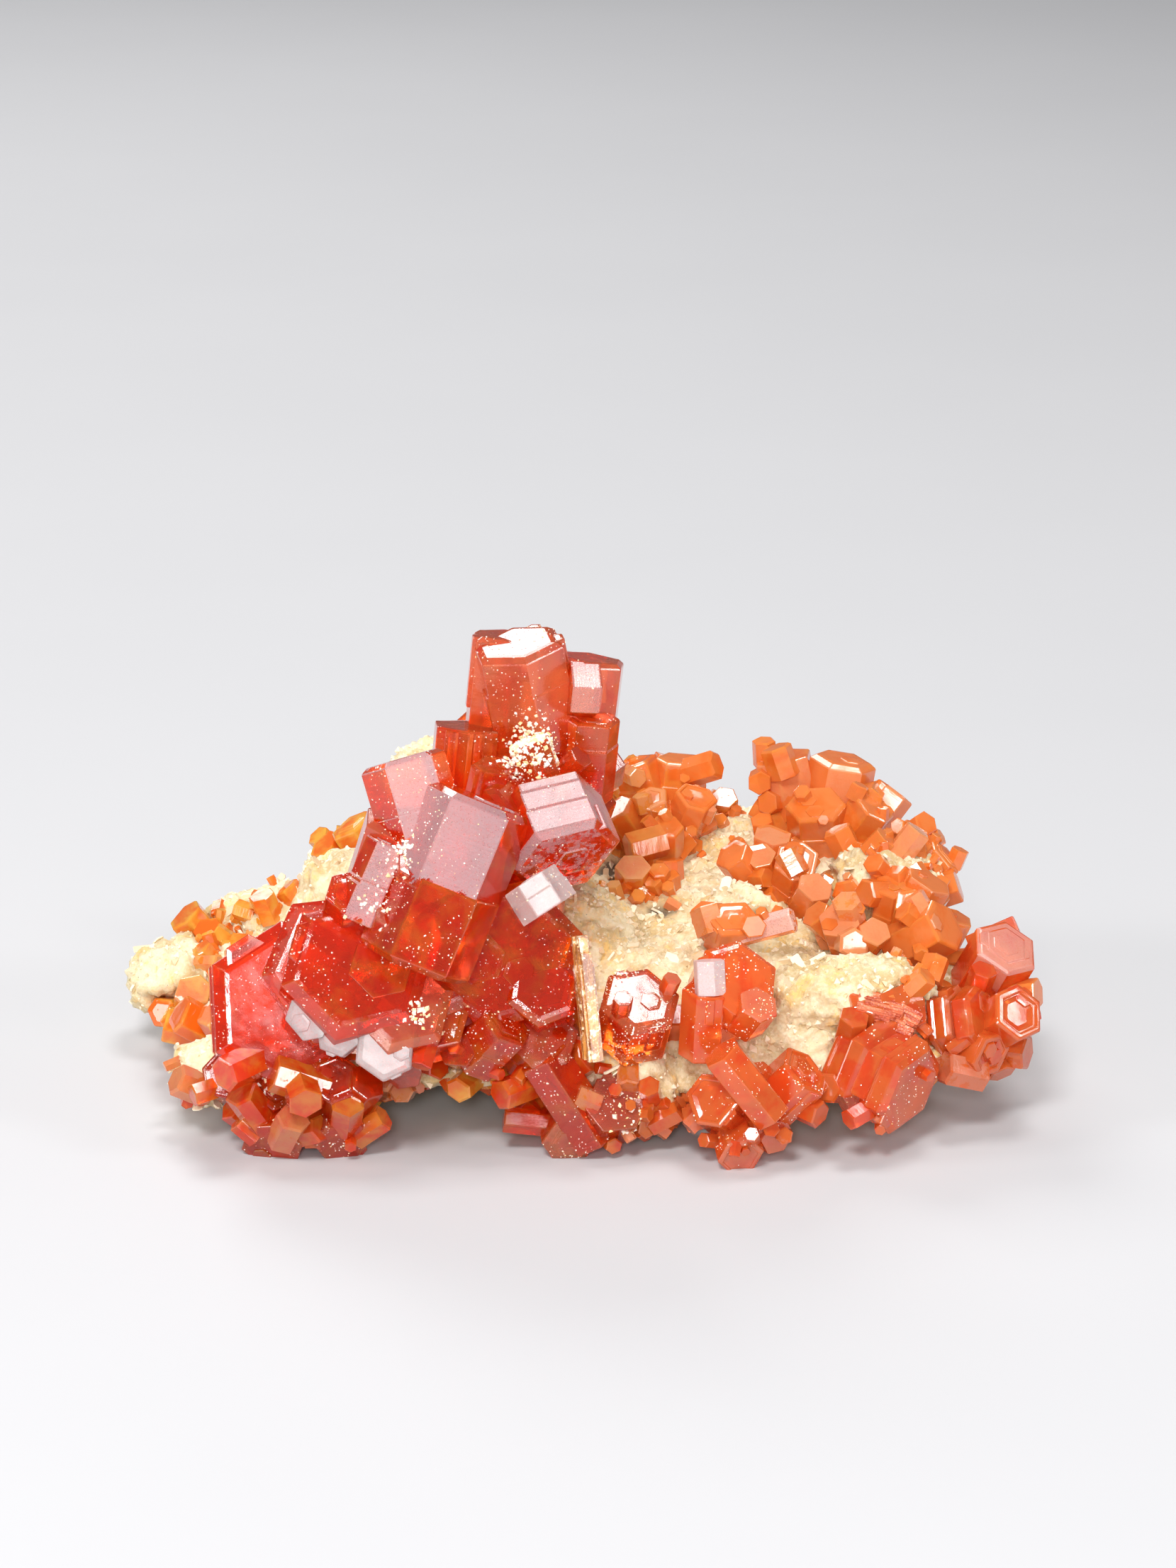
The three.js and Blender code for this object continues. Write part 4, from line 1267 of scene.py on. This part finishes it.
# ---- Bundles of laths ----
RUSTY_LATHS = [  # the striped fragments on the cream ridge: a middle, the way each lies, and its turn
    ((17.3, -7.2, 7.2), (0.86, -0.3, -0.35), 30),
    ((16.5, -7, 7.8), (0.9, -0.1, -0.2), 15),
]


CRUSTED_SIZE = (1.9, 0.9, 6.8)  # width, thickness and length of a bundle
RUSTY_SIZE = (2, 0.6, 2.6)
LATHS = 9  # in each bundle
LATH_SPREAD = 0.86  # share of the bundle's width over which their middles are spread


def make_laths(name, place, size, seed):
    """A bundle of thin laths side by side, each a little longer or shorter than the next."""
    width, thickness, length = size
    rng = random.Random(seed)
    bodies = []
    for n in range(LATHS):
        across = ((n + 0.5) / LATHS - 0.5) * width * LATH_SPREAD
        own_length = length * rng.uniform(0.72, 0.99)
        own_width = width / LATHS * rng.uniform(1.2, 1.9)
        own_thickness = thickness * rng.uniform(0.5, 0.98)
        local, faces, edge = blade_body(own_width, own_thickness, own_length, rng)
        sink = (length - own_length) / 2 * rng.choice((-1, 1))
        local = local + np.array((across, 0, sink))
        bodies.append((moved(local, place), faces, local, edge, rng.random()))
    return joined_bodies(name, bodies)


def lath_material(name, dark, light, crusting):
    """Striped laths. crusting is the noise above which a gold and white crust covers them."""
    s = Shader(name)
    place = s.object_mm()
    grown = s.attribute("grown", "Vector")
    striped = s.vector_math("MULTIPLY", grown, (6, 3, 0.5))
    stripes = s.noise(striped, 1.0, 4, 0.6)
    colour = s.blend(s.band(stripes, 0.35, 0.65), dark, light)
    crust = s.band(s.noise(place, 1.6, 4, 0.7), crusting, crusting + 0.1)
    gold = s.blend(s.noise(place, 5), (0.9, 0.62, 0.2, 1), (1, 0.95, 0.82, 1))
    colour = s.blend(crust, colour, gold)
    normal = s.bump(stripes, 0.00008, 0.8)
    normal = s.bump(s.cells(place, 5), 0.0001, 0.8, normal)
    s.set(Base_Color=colour, Roughness=0.16, IOR=1.64, Normal=normal, Coat_Weight=0.4)
    return s.material


def grain_material(name, pale, warm):
    """Loose baryte: pale grains, some of them warm."""
    s = Shader(name)
    place = s.object_mm()
    shade = s.attribute("shade")
    colour = s.blend(s.band(shade, 0.45, 1.0), pale, warm)
    colour = s.blend(s.math("MULTIPLY", s.noise(place, 4), 0.3), colour, (1, 0.98, 0.92, 1))
    normal = s.bump(s.noise(place, 9), 0.00003, 0.6)
    s.set(Base_Color=colour, Roughness=0.5, IOR=1.64, Normal=normal)
    return s.material


FLOOR_REACH = 3000.0  # from its middle to each side


def floor_material():
    s = Shader("pale_floor")
    place = s.object_mm()
    mottle = s.noise(place, 0.02, 3)
    s.set(Base_Color=s.blend(mottle, (0.56, 0.56, 0.57, 1), (0.59, 0.59, 0.6, 1)), Roughness=0.7)
    return s.material


def make_floor():
    corners = np.array([(-1, -1, 0), (1, -1, 0), (1, 1, 0), (-1, 1, 0)])
    floor = new_object("floor", corners * FLOOR_REACH, [(0, 1, 2, 3)])
    floor.data.materials.append(floor_material())


# ---- Assembly ----
def add_piece(piece, material, nodes=()):
    """Gives a piece its material and its body, and lets it stand for those solids."""
    piece.data.materials.clear()
    piece.data.materials.append(material)
    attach(piece, "root")
    if nodes:
        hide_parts(*nodes)
    return piece


make_camera()
make_light()
make_floor()

crystal_materials = make_crystal_materials()
grain_look = grain_material("baryte_grains", (0.88, 0.76, 0.52, 1), (0.74, 0.52, 0.24, 1))
crumb_look = grain_material("baryte_crumbs", (0.98, 0.94, 0.82, 1), (0.96, 0.7, 0.25, 1))

# each group, single crystal and bundle of laths has its own seed, counted from these
GROUP_SEED = 100
SINGLE_SEED = 300
LATH_SEED = 20
# how uneven the sides of orange, red and single crystals are
ORANGE_HABIT = 0.24
RED_HABIT = 0.08
SINGLE_HABIT = 0.15
# single crystals behind BACK_FROM and lower than CROWN_FROM are orange, and of the others those to
# the right of CORAL_FROM are coral
BACK_FROM = -3
CROWN_FROM = 14
CORAL_FROM = 4

groups = {}
for number, (node, rows) in enumerate(CRYSTALS.items()):
    look = "deep" if node in DEEP_GROUPS else "coral" if node in CORAL_GROUPS else "orange"
    habit = ORANGE_HABIT if look == "orange" else RED_HABIT
    group = crystal_group(f"{node}_crystals", rows, GROUP_SEED + number, habit)
    groups[node] = add_piece(group, crystal_materials[look], [node])

for number, row in enumerate(SMALL_CRYSTALS):
    single = crystal_group(f"small_crystal_{number}", [row], SINGLE_SEED + number, SINGLE_HABIT)
    if row[1] > BACK_FROM and row[2] < CROWN_FROM:
        add_piece(single, crystal_materials["orange"])
    else:
        look = "coral" if row[0] > CORAL_FROM else "deep"
        add_piece(single, crystal_materials[look])

rock = add_piece(make_rock(), rock_material(), ["matrix"])
rock_hosts = [(rock, ROCK_COUNT, in_gardens)]
rock_druse = make_druse("druse", ROCK_DRUSE, rock_hosts, seed=41, host_seed=17)
add_piece(rock_druse, crystal_materials["orange"])
add_piece(make_blades(rock), grain_look)
add_piece(make_sugar(rock), grain_look)
add_piece(make_crumbs(groups["tower"]), crumb_look)
add_piece(make_dust(groups), crumb_look)
foot_hosts = [(groups[node], count, low_in_front(math.inf)) for node, count in FOOT_COUNTS.items()]
foot_hosts.insert(0, (rock, FOOT_ON_ROCK, low_in_front(FOOT_END)))
foot_druse = make_druse("foot_druse", FOOT_DRUSE, foot_hosts, seed=58, host_seed=71)
add_piece(foot_druse, crystal_materials["coral"])
rim_hosts = [(groups[node], count, turned_up) for node, count in RIM_COUNTS.items()]
rim_druse = make_druse("rim_druse", RIM_DRUSE, rim_hosts, seed=83, host_seed=96)
add_piece(rim_druse, crystal_materials["orange"])
crusted_look = lath_material("crusted_baryte", (0.3, 0.08, 0.02, 1), (0.8, 0.36, 0.08, 1), 0.53)
crusted_place = placement(*BLADE_MIDDLE, (-0.1, 0.2, 0.97), 80)
crusted = make_laths("crusted_laths", crusted_place, CRUSTED_SIZE, seed=9)
add_piece(crusted, crusted_look, ["crusted_blade"])
rusty_look = lath_material("rusty_laths", (0.4, 0.035, 0.012, 1), (0.92, 0.26, 0.12, 1), 0.78)
for number, (spot, axis, turn) in enumerate(RUSTY_LATHS):
    rusty_place = placement(*spot, axis, turn)
    rusty = make_laths(f"rusty_laths_{number}", rusty_place, RUSTY_SIZE, LATH_SEED + number)
    add_piece(rusty, rusty_look)
